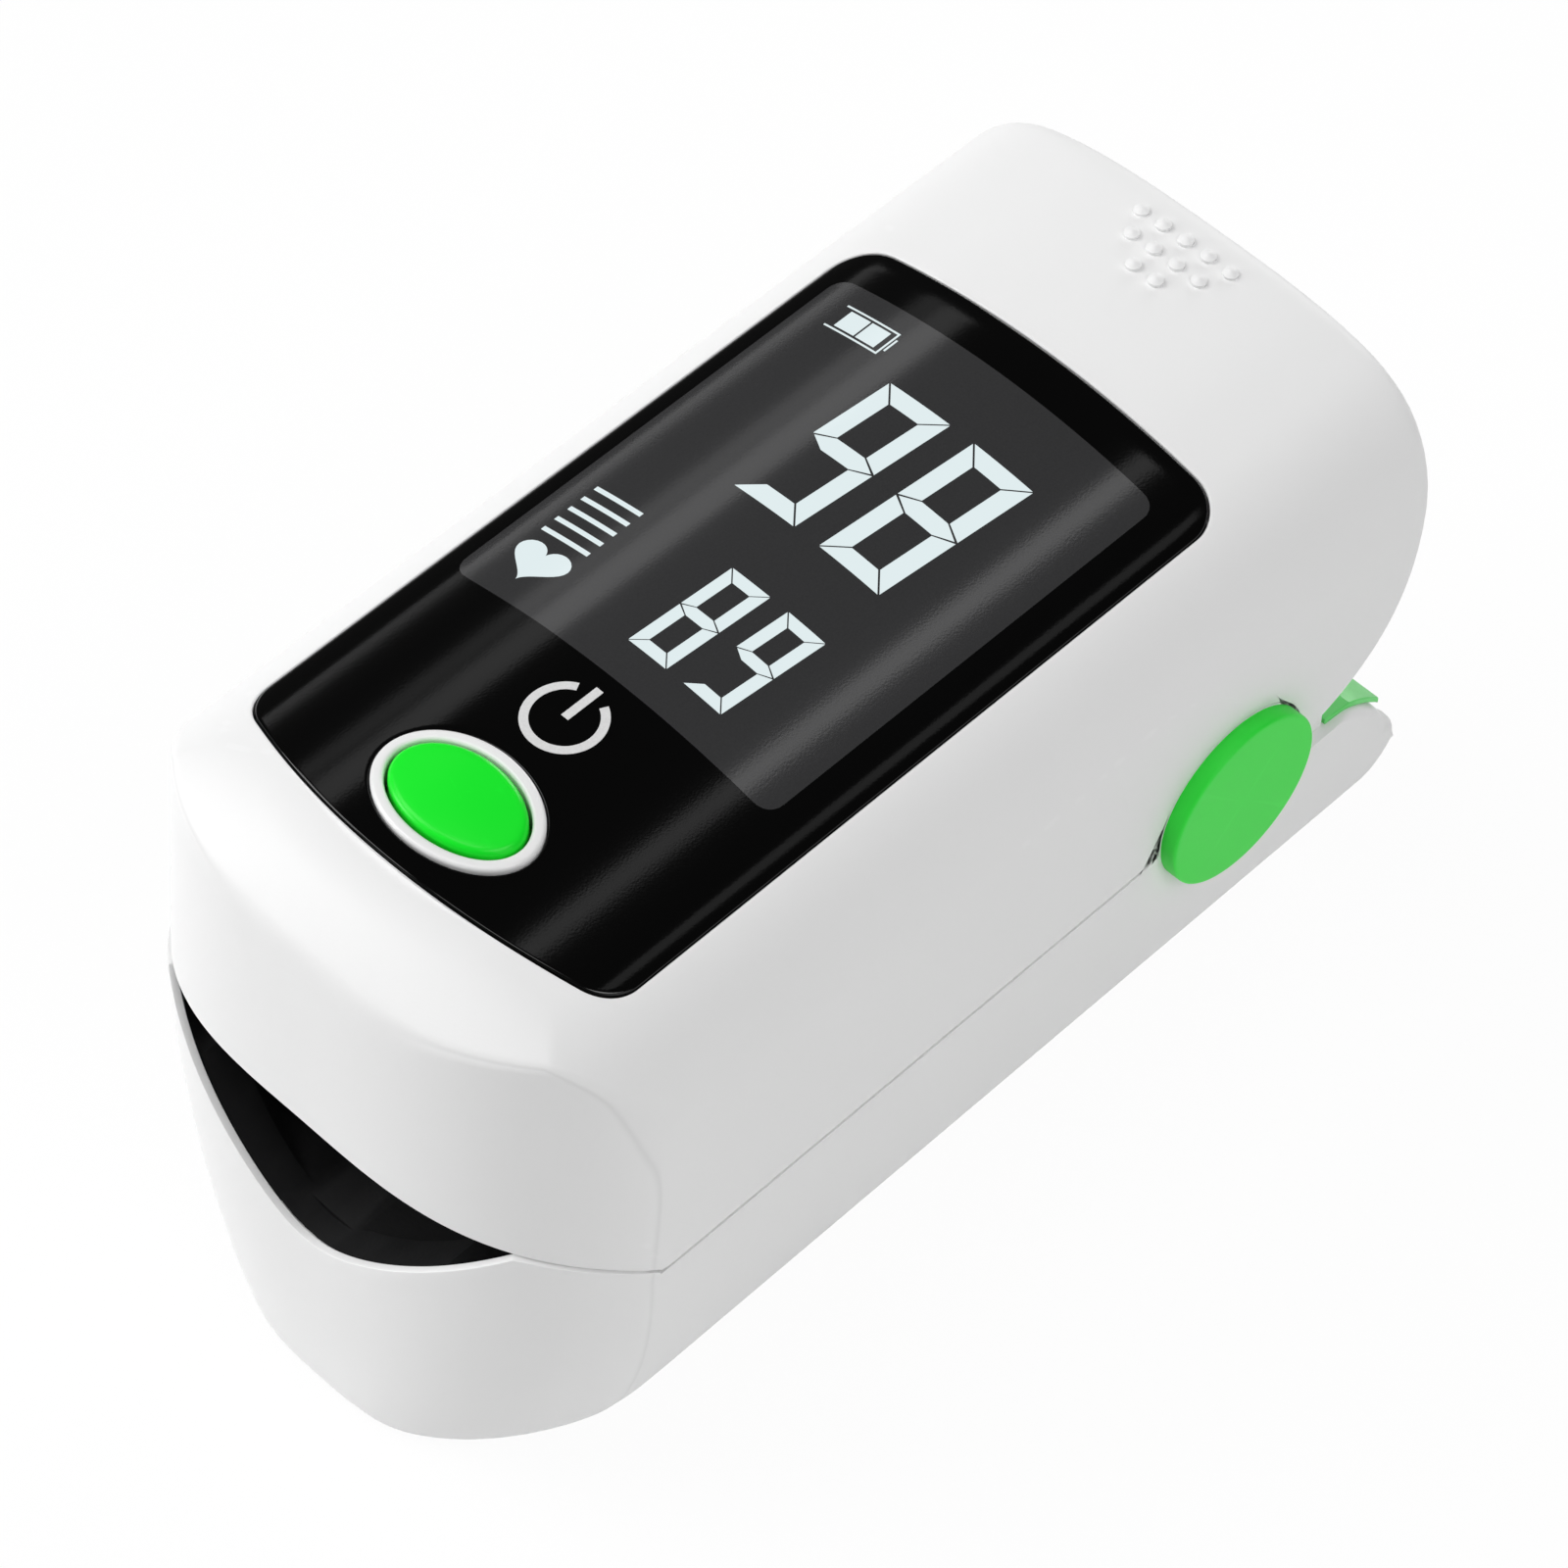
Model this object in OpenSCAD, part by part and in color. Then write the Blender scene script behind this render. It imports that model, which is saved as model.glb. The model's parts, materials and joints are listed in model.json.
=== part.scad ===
// Fingertip pulse oximeter, in millimetres. The nose with the finger opening faces -X, the pinch end
// faces +X and +Z is up. The origin is on the ground under the middle of the body.

/* [Body] */
// Length of the body from nose to pinch end
body_len = 60.5; // [58:0.5:66]
// Width of the body without the hinge caps
body_w = 30.9; // [30.3:0.1:33]
// Height of the crown of the upper shell
body_h = 35.7; // [35:0.1:38]
// Wall of both shells
wall = 1.5; // [1.2:0.1:1.7]
// Floor of the lower shell and the battery cover
floor_t = 1.2; // [1:0.1:1.4]
// Height of the parting line on the sides
seam_z = 17.5; // [17.2:0.1:18]
// Gap between the two shells along the parting line
seam_gap = 0.2; // [0.15:0.05:0.4]
// How far the rounded nose reaches past the straight sides
nose_bulge = 8; // [6:0.5:10]
// Angle at which the nose of the upper shell leans back
lean_a = 5.3; // [3:0.1:6]
// Radius of the crown, seen from the front
crown_r = 40; // [34:1:60]
// Radius between the crown and the sides
shoulder_r = 7; // [5:0.5:8]
// How far the belly tucks in under the sides
belly_in = 7; // [5:0.2:8]
// Radius under the pinch end of the upper shell
pinch_r = 11.1; // [9:0.1:12]
// Radius over the pinch end of the upper shell
heel_r = 1.75; // [1:0.25:3]

/* [Finger opening] */
// Lowest point of the lower lip
lip_z = 12.4; // [12:0.1:13]
// Steepness of the lower lip
lip_slope = 0.85; // [0.7:0.05:1]
// How far the upper lip arches over the parting line
arch_h = 4.2; // [3:0.1:5]
// Thickness of the pads beside the finger groove
pad_rim = 0.5; // [0.4:0.1:1.4]
// Bottom of the groove in the lower pad
groove_lo = 14.9; // [14.7:0.1:15.5]
// Thickness of the upper pad over the groove
pad_roof = 2.2; // [1.8:0.1:3]
// Distance from the end of the finger groove to the hinge axis
groove_back = 6.2; // [5:0.1:8]

/* [Hinge] */
// Distance from the hinge axis to the pinch end
hinge_from_rear = 14.55; // [14:0.05:15.3]
// Hinge axis over the ground
hinge_z = 18.4; // [18:0.1:18.8]
// Radius of the hinge pin
pin_r = 1; // [0.8:0.1:1.2]
// Radius of the round caps over the hinge
cap_r = 4.9; // [4:0.1:5]
// How far a cap stands out of the side
cap_out = 0.9; // [0.3:0.1:1.2]
// Full opening angle of the jaw in degrees
open_angle = 12; // [8:1:12]
// Radius of the ears around the pin
ear_r = 3; // [2.4:0.1:3.2]
// Thickness of one ear
ear_t = 1.6; // [1.2:0.1:1.6]
// Thickness of the skirt with which the upper shell laps over the lower one behind the hinge
skirt_t = 0.45; // [0.4:0.05:0.6]
// Clearance behind the skirt
skirt_gap = 0.15; // [0.1:0.05:0.2]
// Running clearance on the pin and beside the ears
run_gap = 0.03; // [0.02:0.01:0.06]

/* [Lens and display] */
// Length of the black lens panel
lens_len = 41.8; // [38:0.2:43]
// Width of the black lens panel
lens_w = 23.5; // [22:0.5:25]
// Thickness of the lens panel
lens_t = 1.4; // [1.2:0.1:1.5]
// Distance from the nose to the front edge of the lens panel
lens_from_nose = 6.45; // [6:0.05:8]
// Bulge of the front edge of the lens panel
lens_bulge = 2.34; // [1:0.1:3]
// Length of the display module
display_l = 25; // [22:0.5:26]
// Width of the display module
display_w = 18.6; // [17:0.2:19]
// Thickness of the display module
display_t = 2.6; // [2:0.1:2.6]

/* [Power button] */
// Distance from the nose to the middle of the button
button_from_nose = 10.8; // [10.5:0.1:11.5]
// Length of the button along the body
button_l = 4.8; // [4.6:0.1:5.8]
// Width of the button across the body
button_w = 7.5; // [7:0.1:8.6]
// Width of the white ring around the button
ring_w = 0.65; // [0.6:0.05:1]
// Travel of the button
button_travel = 0.4; // [0.3:0.05:0.5]
// How far the button stands above the crown
button_out = 0.6; // [0.4:0.1:0.8]

/* [Electronics] */
// Length of the main board
board_l = 46; // [44:0.5:47]
// How far the main board stands out beside the display
board_edge = 0.2; // [0.1:0.05:0.4]
// Thickness of the main board
board_t = 1; // [0.8:0.1:1.2]
// Gap between the display and the lens panel, at the crown
display_gap = 1.3; // [1.2:0.1:1.5]
// Side of the square processor chip
chip_w = 7; // [5:0.5:8]
// Distance from the nose to the light path across the finger
light_from_nose = 22.25; // [20:0.25:25]

/* [Batteries] */
// Diameter of an AAA cell
cell_d = 10.5; // [9.5:0.1:10.5]
// Length of an AAA cell over its nub
cell_l = 44.5; // [43.5:0.1:44.6]
// Compressed length of a contact spring
spring_l = 2.2; // [1.8:0.1:2.6]
// Width of the battery cover
cover_w = 21.8; // [21.4:0.1:22]
// Distance from the nose to the front edge of the battery cover
cover_from_nose = 11.25; // [9.5:0.25:14]
// Travel of the battery cover
cover_travel = 7; // [4:0.5:7]
// Gap around the battery cover
cover_gap = 0.15; // [0.1:0.05:0.25]

/* [Grip dots] */
// Radius of one grip dot
dot_r = 0.5; // [0.3:0.05:0.6]
// Distance between dots in a row
dot_pitch = 1.43; // [1.2:0.01:1.8]
// Distance from the pinch end to the first row of dots
dots_from_rear = 2.35; // [2:0.05:4]
// Distance between the rows of dots
dot_rows = 1.45; // [1.2:0.05:1.8]

/* [Hidden] */
$fn = 48;
steps = 10;
far = 60;
eps = 0.01;

half_w = body_w / 2;
nose_x = -body_len / 2;
rear_x = body_len / 2;
crease_x = nose_x + nose_bulge;
in_w = half_w - wall;
side_gap = 0.4;
nose_power = 0.735;
lip_round = 2.6;
lip_wall = 0.4;
liner_h = 3.5;
liner_z = lip_z - 0.8;
frame_w = in_w - side_gap;
hinge_x = rear_x - hinge_from_rear;
light_x = nose_x + light_from_nose;
groove_end = hinge_x - groove_back;

// Pinch end, seen from above
rear_sag = 0.65;
rear_corner = 3.4;
rear_corner_depth = 1;
tail_x = rear_x - 0.15;
tail_corner = 0.8;

// Lower shell, seen from the side
chin_l = 0.9;
chin_h = 0.6;
stern_r = 6;
tail_root_x = tail_x - 6.6;
tail_tip_z = 9;
tail_l = 6.1;
tail_h = 7.1;
tail_power = 1.6;
plate_h = 0.4;

// Crown and shoulders, seen from the front
crown_z = body_h - crown_r;
shoulder_y = half_w - shoulder_r;
shoulder_z = crown_z + sqrt(pow(crown_r - shoulder_r, 2) - pow(shoulder_y, 2));
shoulder_a = atan2(shoulder_z - crown_z, shoulder_y);

// Hinge
lobe_r = cap_r + 0.1;
lobe_gap = 0.25;
wedge_a = open_angle + 0.5;
skirt_z = seam_z - 1.4;
peg_r = 1.5;
peg_l = 0.75;
low_ear_y = frame_w - ear_t;
top_ear_y = low_ear_y - ear_t - 0.3;
pin_half = in_w + 0.55;
coil_r = 2.3;
coil_wire = 0.8;
coil_turns = 4;
coil_y = 5.8;
coil_pitch = 0.85;

// Decks, pads and screws
deck_t = 1;
cell_gap = 0.2;
cell_z = floor_t + cell_gap + cell_d / 2;
deck_z = cell_z + cell_d / 2 + 0.2;
deck_top = deck_z + deck_t;
deck_front = nose_x + 6.45;
riser_x = hinge_x + 4.5;
deck_end = riser_x + 1.2;
plate_z = body_h - 10.7;
plate_top = plate_z + deck_t;
pad_gap = 0.3;
pad_split_lo = seam_z + 0.5;
pad_split_hi = pad_split_lo + 0.4;
groove_hi = plate_z - pad_roof;
flare_a = 12;
flare_x = nose_x + 12.25;
boss_r = 1.7;
screw_r = 0.8;
head_r = 1.4;
head_h = 0.8;
screw_l = 3.4;
screw_y = frame_w - boss_r;
pad_w = screw_y - head_r - 0.05;
groove_w = 2 * (pad_w - pad_rim);
screw_x = [nose_x + 13.25, hinge_x - 8.7];
boss_l = 2.9;
plate_rise = 0.5;
open_x = rear_x - pinch_r + sqrt(pow(pinch_r, 2) - pow(seam_z - 0.3 + pinch_r - hinge_z, 2));
flex_w = 4;
flex_room = 0.6;

// Lens, button and board
lens_x0 = nose_x + lens_from_nose;
lens_x1 = lens_x0 + lens_len;
lens_corner = 2.2;
lens_gap = 0.1;
lens_ledge = 1;
lens_land = 1.2;
button_x = nose_x + button_from_nose;
button_gap = 0.15;
ring_out = 0.25;
dome_r = 16;
flange = 0.6;
flange_t = 0.6;
flange_z = body_h - lens_t - flange_t - button_travel - 0.1;
board_top = body_h - lens_t - display_gap - display_t;
board_z = board_top - board_t;
board_w = display_w + 2 * board_edge;
board_x = button_x + 18.45;
display_x = lens_x0 + 26.25;
switch_w = 4.2;
switch_h = 1.8;
plunger_r = 1;
chip_t = 0.8;
post_x = board_l / 2 - 3;
post_y = board_w / 2 - 2.3;
post_r = 1.4;
post_peg_r = 0.7;
connector_x = board_x + 20.2;
connector_h = 1.2;
connector_w = 6.4;

// Light path
sensor_t = 0.5;
sensor_l = 13;
sensor_w = 7;
diode_w = 3;
diode_t = 0.7;
detector_r = 2.6;
emitter_r = 3.1;
window_t = 0.8;
led_h = 1.2;
led_l = 2.8;
led_w = 3.2;
fit_gap = 0.05;

// Batteries
bay_x0 = nose_x + 5.55;
bay_x1 = bay_x0 + cell_l + spring_l;
cell_y = cell_d / 2 + 0.15;
contact_t = 0.4;
contact_z0 = cell_z - 3.65;
contact_z1 = cell_z + 3.85;
contact_y = cell_y + 3.1;
rib_t = 1;
nub_r = 1.9;
nub_l = 0.8;
cell_chamfer = 0.4;
cover_front = nose_x + cover_from_nose;
rail_x0 = cover_front + 4;
rail_x1 = bay_x1 - 3;
rail_z = 3.1;
rail_t = 0.6;
rail_w = 0.6;
cover_edge_z = 4.2;
cover_side = 0.8;
cover_top_z = 7.5;
grip_n = 5;
grip_pitch = 2;

function arc_pts(cx, cy, rx, ry, a0, a1, n = steps) =
    [for (i = [0:n]) let (a = a0 + (a1 - a0) * i / n) [cx + rx * cos(a), cy + ry * sin(a)]];

function flip(pts) = [for (i = [len(pts) - 1:-1:0]) [-pts[i][0], pts[i][1]]];

function unit(v) = v / norm(v);

// Rounded nose: x of the outline at u, which runs from -1 to 1 across the width
function nose_at(u) = crease_x - nose_bulge * pow(max(0, 1 - pow(abs(u), 3)), nose_power);

function rear_at(y, w) = let (over = max(0, (abs(y) - (w - rear_corner)) / rear_corner))
    rear_x - rear_sag * pow(y / w, 2) - rear_corner_depth * (1 - sqrt(max(0, 1 - over * over)));

// Height of the upper lip and of the lower lip at y
function arch_at(y) = seam_z + arch_h * sqrt(max(0, 1 - pow(y / half_w, 2)));

function lip_at(y) = lip_z + lip_slope * (sqrt(y * y + lip_round * lip_round) - lip_round);

// Upper edge of the tail, which leaves room for the pinch end to come down
function wedge_at(x) = hinge_z - seam_gap - tan(wedge_a) * (x - hinge_x);

// Points on the top edge of the tail, a superellipse, between two of its angles
function tail_edge(a0, a1, lift, n) = [for (i = [0:n]) let (a = a0 + (a1 - a0) * i / n)
    [tail_x - tail_l * (1 - pow(cos(a), 2 / tail_power)),
        tail_tip_z + lift + tail_h * pow(sin(a), 2 / tail_power)]];

// A tube of radius r along a list of points, whose rings face along the path; ref is never along it
function ring_at(p, t, ref, r, sides) = let (n = unit(cross(t, ref)), b = cross(n, t))
    [for (k = [0:sides - 1]) p + r * cos(360 * k / sides) * n + r * sin(360 * k / sides) * b];

module tube(path, r, ref, sides = 8) {
    last = len(path) - 1;
    rings = [for (i = [0:last]) each ring_at(path[i],
        unit(path[min(last, i + 1)] - path[max(0, i - 1)]), ref, r, sides)];
    walls = [for (i = [0:last - 1], k = [0:sides - 1]) [i * sides + k, i * sides + (k + 1) % sides,
        (i + 1) * sides + (k + 1) % sides, (i + 1) * sides + k]];
    start = [for (k = [0:sides - 1]) sides - 1 - k];
    end = [for (k = [0:sides - 1]) last * sides + k];
    polyhedron(rings, concat([start], walls, [end]), convexity = 6);
}

// Extrusions along the three axes
module along_x(x0, x1) {
    translate([x0, 0, 0]) rotate([90, 0, 90]) linear_extrude(x1 - x0) children();
}

module along_y(y0, y1) {
    translate([0, y1, 0]) rotate([90, 0, 0]) linear_extrude(y1 - y0) children();
}

module along_z(z0, z1) {
    translate([0, 0, z0]) linear_extrude(z1 - z0) children();
}

module both_sides() {
    children();
    mirror([0, 1, 0]) children();
}

module box(x0, x1, y0, y1, z0, z1) {
    translate([x0, y0, z0]) cube([x1 - x0, y1 - y0, z1 - z0]);
}

module at_hinge(y0, y1, r) {
    translate([hinge_x, y1, hinge_z]) rotate([90, 0, 0]) cylinder(r = r, h = y1 - y0);
}

// The nose from above, moved in by d and narrowed, with straight sides that run on to +X
module nose_plan(d = 0, narrow = 0) {
    w = half_w - d - narrow;
    front = [for (i = [-2 * steps:2 * steps]) let (u = sin(45 * i / steps)) [nose_at(u) + d, w * u]];
    polygon(concat(front, [[far, w], [far, -w]]));
}

// The pinch end from above, with straight sides that run on to -X
module pinch_plan(d = 0) {
    w = half_w - d;
    rear = [for (i = [-steps:steps]) let (y = -w * sin(90 * i / steps)) [rear_at(y, w) - d, y]];
    polygon(concat([[-far, -w], [-far, w]], rear));
}

// The lower half has the same nose, and a tail with round corners
module low_plan(d = 0, narrow = 0) {
    w = half_w - d - narrow;
    c = tail_corner;
    intersection() {
        nose_plan(d, narrow);
        polygon(concat([[-far, -w], [-far, w]], arc_pts(tail_x - d - c, w - c, c, c, 90, 0, 6),
            arc_pts(tail_x - d - c, c - w, c, c, 0, -90, 6)));
    }
}

// The inside of the upper half from above, under a nose that leans back
module top_block(z0, z1, d = 0) {
    intersection() {
        translate([nose_x, 0, seam_z]) rotate([0, lean_a, 0]) translate([-nose_x, 0, -seam_z])
            along_z(-far, far) nose_plan(d);
        along_z(z0, z1) pinch_plan(d);
    }
}

// The body from the front: straight sides, round shoulders and a low crown
module top_section(d = 0) {
    right = concat([[half_w - d, 0]],
        arc_pts(shoulder_y, shoulder_z, shoulder_r - d, shoulder_r - d, 0, shoulder_a));
    crown = arc_pts(0, crown_z, crown_r - d, crown_r - d, shoulder_a, 180 - shoulder_a);
    polygon(concat(right, crown, flip(right)));
}

// The lower body without its chin and stern: outlines from above that narrow towards a flat bottom
module belly(d = 0, bottom = 0) {
    hull() {
        along_z(seam_z, far) low_plan(d);
        for (i = [0:steps]) let (t = 90 * i / steps)
            along_z(seam_z - (seam_z - bottom) * sin(t), seam_z - (seam_z - bottom) * sin(t) + eps)
                low_plan(d, (belly_in - d) * (1 - cos(t)));
    }
}

// The upper shell from the side, with its round pinch end, open below
module top_profile(d = 0) {
    z = seam_z - 0.3 + pinch_r;
    polygon(concat([[-far, -far], [-far, body_h - d]],
        arc_pts(rear_x - heel_r, body_h - heel_r, heel_r - d, heel_r - d, 90, 0, 6),
        arc_pts(rear_x - pinch_r, z, pinch_r - d, pinch_r - d, 0, -90, 16),
        [[rear_x - pinch_r, -far]]));
}

// The room behind the hinge that the inner wall of the upper shell leaves for the lower one
module lap_room() {
    z = hinge_z - 0.1;
    along_y(skirt_t - half_w, half_w - skirt_t) polygon([[hinge_x, 0], [hinge_x, z],
        [open_x, z + tan(wedge_a) * (open_x - hinge_x)], [open_x, 0]]);
}

// The lower shell from the side, without its top edge
module low_profile(d = 0, bottom = 0) {
    l = max(chin_l - d, 0.1);
    h = max(chin_h - bottom, 0.1);
    polygon(concat([[nose_x + d, far]],
        arc_pts(nose_x + d + l, bottom + h, l, h, 180, 270, 6),
        arc_pts(tail_x - stern_r, stern_r, stern_r - d, stern_r - bottom, 270, 360, 8),
        [[tail_x - d, far]]));
}

// The parting line of the lower shell: level, lower behind the hinge, where the skirt comes down,
// then the round tip of the tail
module low_edge() {
    polygon(concat([[-far, -far], [-far, seam_z - seam_gap / 2], [hinge_x, seam_z - seam_gap / 2],
        [hinge_x, skirt_z], [tail_root_x, skirt_z]],
        tail_edge(75, 0, 0, 10),
        [[tail_x, -far]]));
}

// The plate on the tail, which stands a little over the white edge
module tail_plate() {
    x = tail_root_x - 0.2;
    edge = tail_edge(75, 50, plate_h, 5);
    polygon(concat([[x, tail_tip_z], [x, wedge_at(x)]], edge, [[edge[5][0], tail_tip_z]]));
}

module front_arch(lift) {
    pts = [for (i = [-2 * steps:2 * steps]) let (y = half_w * sin(45 * i / steps)) [y, arch_at(y) + lift]];
    polygon(concat([[-half_w - 1, 0], [-half_w - 1, seam_z + lift]], pts,
        [[half_w + 1, seam_z + lift], [half_w + 1, 0]]));
}

module front_lip() {
    n = 2 * steps;
    pts = [for (i = [-n:n]) let (y = (half_w + 1) * i / n) [y, lip_at(y)]];
    polygon(concat([[-half_w - 1, -1]], pts, [[half_w + 1, -1]]));
}

// The band behind the lip that the edge of the lower pad fills, from its foot up to the lip
module liner_band(foot, top) {
    n = 2 * steps;
    low = [for (i = [-n:n]) let (y = half_w * i / n) [y, max(liner_z, lip_at(y) - liner_h) + foot]];
    high = [for (i = [n:-1:-n]) let (y = half_w * i / n) [y, lip_at(y) + top]];
    polygon(concat(low, high));
}

module oval(l, w) {
    polygon([for (i = [0:4 * steps - 1]) let (a = 90 * i / steps) [l / 2 * cos(a), w / 2 * sin(a)]]);
}

module lens_outline(grow = 0) {
    w = lens_w / 2 + grow;
    c = lens_corner;
    x0 = lens_x0 - grow;
    x1 = lens_x1 + grow;
    a = atan(2 * lens_bulge * (w - 0.7 * c) / (w * w));
    y0 = w - c + c * sin(a);
    cx = x0 + lens_bulge * pow(y0 / w, 2) + c * cos(a);
    front = [for (i = [-steps:steps]) let (y = y0 * i / steps) [x0 + lens_bulge * pow(y / w, 2), y]];
    polygon(concat(front, arc_pts(cx, w - c, c, c, 180 - a, 90, 6),
        arc_pts(x1 - c, w - c, c, c, 90, 0, 6), arc_pts(x1 - c, c - w, c, c, 0, -90, 6),
        arc_pts(cx, c - w, c, c, 270, 180 + a, 6)));
}

// The skin of the crown between two depths
module crown_skin(d0, d1) {
    difference() {
        along_x(-far, far) top_section(d0);
        along_x(-far - 1, far + 1) top_section(d1);
    }
}

// A screw whose head lies against z, with its shank up or down
module screw(x, y, z, up) {
    translate([x, y, z]) mirror([0, 0, up ? 0 : 1]) {
        cylinder(r = screw_r, h = screw_l);
        difference() {
            translate([0, 0, -head_h]) cylinder(r = head_r, h = head_h);
            for (a = [0, 90]) rotate([0, 0, a]) box(-0.9, 0.9, -0.15, 0.15, -head_h - eps, -head_h / 2);
        }
    }
}

// A torsion spring around the pin, with one leg up to the upper frame and one down to the deck
module torsion_spring() {
    turn_steps = 20;
    n = turn_steps * coil_turns + turn_steps / 2;
    coil = [for (i = [0:n]) let (a = 90 + 360 * i / turn_steps)
        [hinge_x + coil_r * cos(a), coil_y + coil_pitch * i / turn_steps, hinge_z + coil_r * sin(a)]];
    top_leg = [hinge_x + 7.6, coil_y, plate_z - coil_wire / 2];
    low_leg = [hinge_x + 3.9, coil_y + coil_pitch * n / turn_steps, deck_top + coil_wire / 2];
    tube(concat([top_leg], coil, [low_leg]), coil_wire / 2, [0, 1, 0]);
}

module contact_spring(x, y, dir) {
    turn_steps = 20;
    n = 2.5 * turn_steps;
    wire_r = 0.25;
    coil = [for (i = [0:n]) let (a = 360 * i / turn_steps, r = 3 - 1.1 * i / n)
        [x + dir * (wire_r + (spring_l - 2 * wire_r) * i / n), y + r * cos(a), cell_z + r * sin(a)]];
    tube(coil, wire_r, [1, 0, 0]);
}

module cell(x, y, dir) {
    body_l = cell_l - nub_l;
    translate([x, y, cell_z]) rotate([0, dir * 90, 0]) {
        cylinder(r1 = cell_d / 2 - cell_chamfer, r2 = cell_d / 2, h = cell_chamfer);
        translate([0, 0, cell_chamfer]) cylinder(r = cell_d / 2, h = body_l - 2 * cell_chamfer);
        translate([0, 0, body_l - cell_chamfer])
            cylinder(r1 = cell_d / 2, r2 = cell_d / 2 - cell_chamfer, h = cell_chamfer);
        cylinder(r = nub_r, h = cell_l);
    }
}

// Everything inside a surface that lies d inside the lower shell
module lower_body(d = 0, bottom = 0) {
    intersection() {
        belly(d, bottom);
        along_y(-far, far) low_profile(d, bottom);
    }
}

module lower_shell() color("white") {
    difference() {
        union() {
            difference() {
                intersection() {
                    lower_body();
                    union() {
                        along_y(-far, far) low_edge();
                        box(hinge_x, tail_root_x - 0.3, skirt_t + skirt_gap - half_w,
                            half_w - skirt_t - skirt_gap, 0, hinge_z - 0.3);
                        at_hinge(-half_w, half_w, lobe_r);
                        along_x(-far, crease_x + 0.8) front_arch(-seam_gap / 2);
                    }
                }
                lower_body(wall, floor_t);
                along_x(-far, crease_x) difference() {
                    translate([-half_w, 0]) square([body_w, far]);
                    front_lip();
                }
                intersection() {
                    along_z(0, seam_z) low_plan(lip_wall);
                    along_x(-far, crease_x) liner_band(0, 1);
                }
            }
            intersection() {
                lower_body(wall, floor_t);
                union() {
                    for (x = screw_x) both_sides()
                        translate([x, screw_y, deck_z - boss_l]) cylinder(r = boss_r, h = boss_l);
                    box(bay_x0 - contact_t - rib_t, bay_x0 - contact_t, -far, far, 0, deck_z);
                    box(bay_x1 + contact_t, bay_x1 + contact_t + rib_t, -far, far, 0, deck_z);
                }
            }
        }
        for (x = screw_x) both_sides()
            translate([x, screw_y, deck_z - screw_l]) cylinder(r = screw_r + run_gap, h = far);
        at_hinge(-pin_half, pin_half, pin_r + run_gap);
        both_sides() at_hinge(half_w - peg_l, half_w + 1, peg_r + run_gap);
        cover_room();
    }
}

// The opening for the battery cover, and the grooves that its rails slide in
module cover_room() {
    w = cover_w / 2 + cover_gap;
    x = bay_x1 + contact_t + rib_t;
    box(cover_front - cover_gap, x + 1, -w, w, -1, cover_edge_z);
    box(x, far, -w, w, -1, cover_top_z);
    both_sides() box(rail_x0 - cover_gap, rail_x1 + cover_travel + cover_gap, 1, w + rail_w,
        rail_z - cover_gap, rail_z + rail_t + cover_gap);
}

module battery_cover() color("white") {
    w = cover_w / 2;
    x = bay_x1 + contact_t + rib_t + cover_gap;
    difference() {
        intersection() {
            lower_body();
            union() {
                box(cover_front, x + 1, -w, w, -1, cover_edge_z - cover_gap);
                box(x, far, -w, w, -1, cover_top_z - cover_gap);
                both_sides() box(rail_x0, rail_x1, w - cover_side, w + rail_w - cover_gap, rail_z, rail_z + rail_t);
            }
        }
        intersection() {
            lower_body(wall, floor_t);
            box(-far, far, cover_side - w, w - cover_side, floor_t, far);
        }
        for (i = [1:grip_n]) box(grip_pitch * (i + 4), grip_pitch * (i + 4.5), -5, 5, -1, floor_t / 3);
    }
}

// One piece: the deck over the cells, a riser behind the hinge, and the plate on the tail
module lower_inner_frame() color("limegreen") {
    difference() {
        union() {
            intersection() {
                along_z(0, far) low_plan(wall + side_gap);
                union() {
                    box(deck_front, deck_end, -far, far, deck_z, deck_top);
                    along_y(-far, far) polygon([[riser_x, deck_z], [deck_end, deck_z], [deck_end, deck_top + 2.5],
                        [tail_root_x, deck_top + 2.1], [tail_root_x, wedge_at(tail_root_x)],
                        [riser_x, wedge_at(riser_x)]]);
                    along_y(-far, far) difference() {
                        tail_plate();
                        translate([0, -deck_t]) low_edge();
                    }
                }
            }
            intersection() {
                along_z(0, far) low_plan(plate_rise);
                along_y(-far, far) difference() {
                    tail_plate();
                    low_edge();
                }
            }
            both_sides() {
                at_hinge(low_ear_y, frame_w, ear_r);
                box(hinge_x - ear_r, hinge_x + ear_r, low_ear_y, frame_w, deck_top - eps, hinge_z);
            }
        }
        at_hinge(-far, far, pin_r + run_gap);
        for (x = screw_x) both_sides()
            translate([x, screw_y, 0]) cylinder(r = screw_r + run_gap, h = far);
        box(riser_x - 1, open_x, -flex_w / 2 - flex_room, flex_w / 2 + flex_room, deck_top, far);
    }
}

// The pads fill the nose from wall to wall, and pass between the screws behind it
module pad_sides() {
    box(-far / 2, screw_x[0] - head_r - 0.1, -far, far, 0, far);
    box(-far / 2, groove_end, -pad_w, pad_w, 0, far);
}

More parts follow.
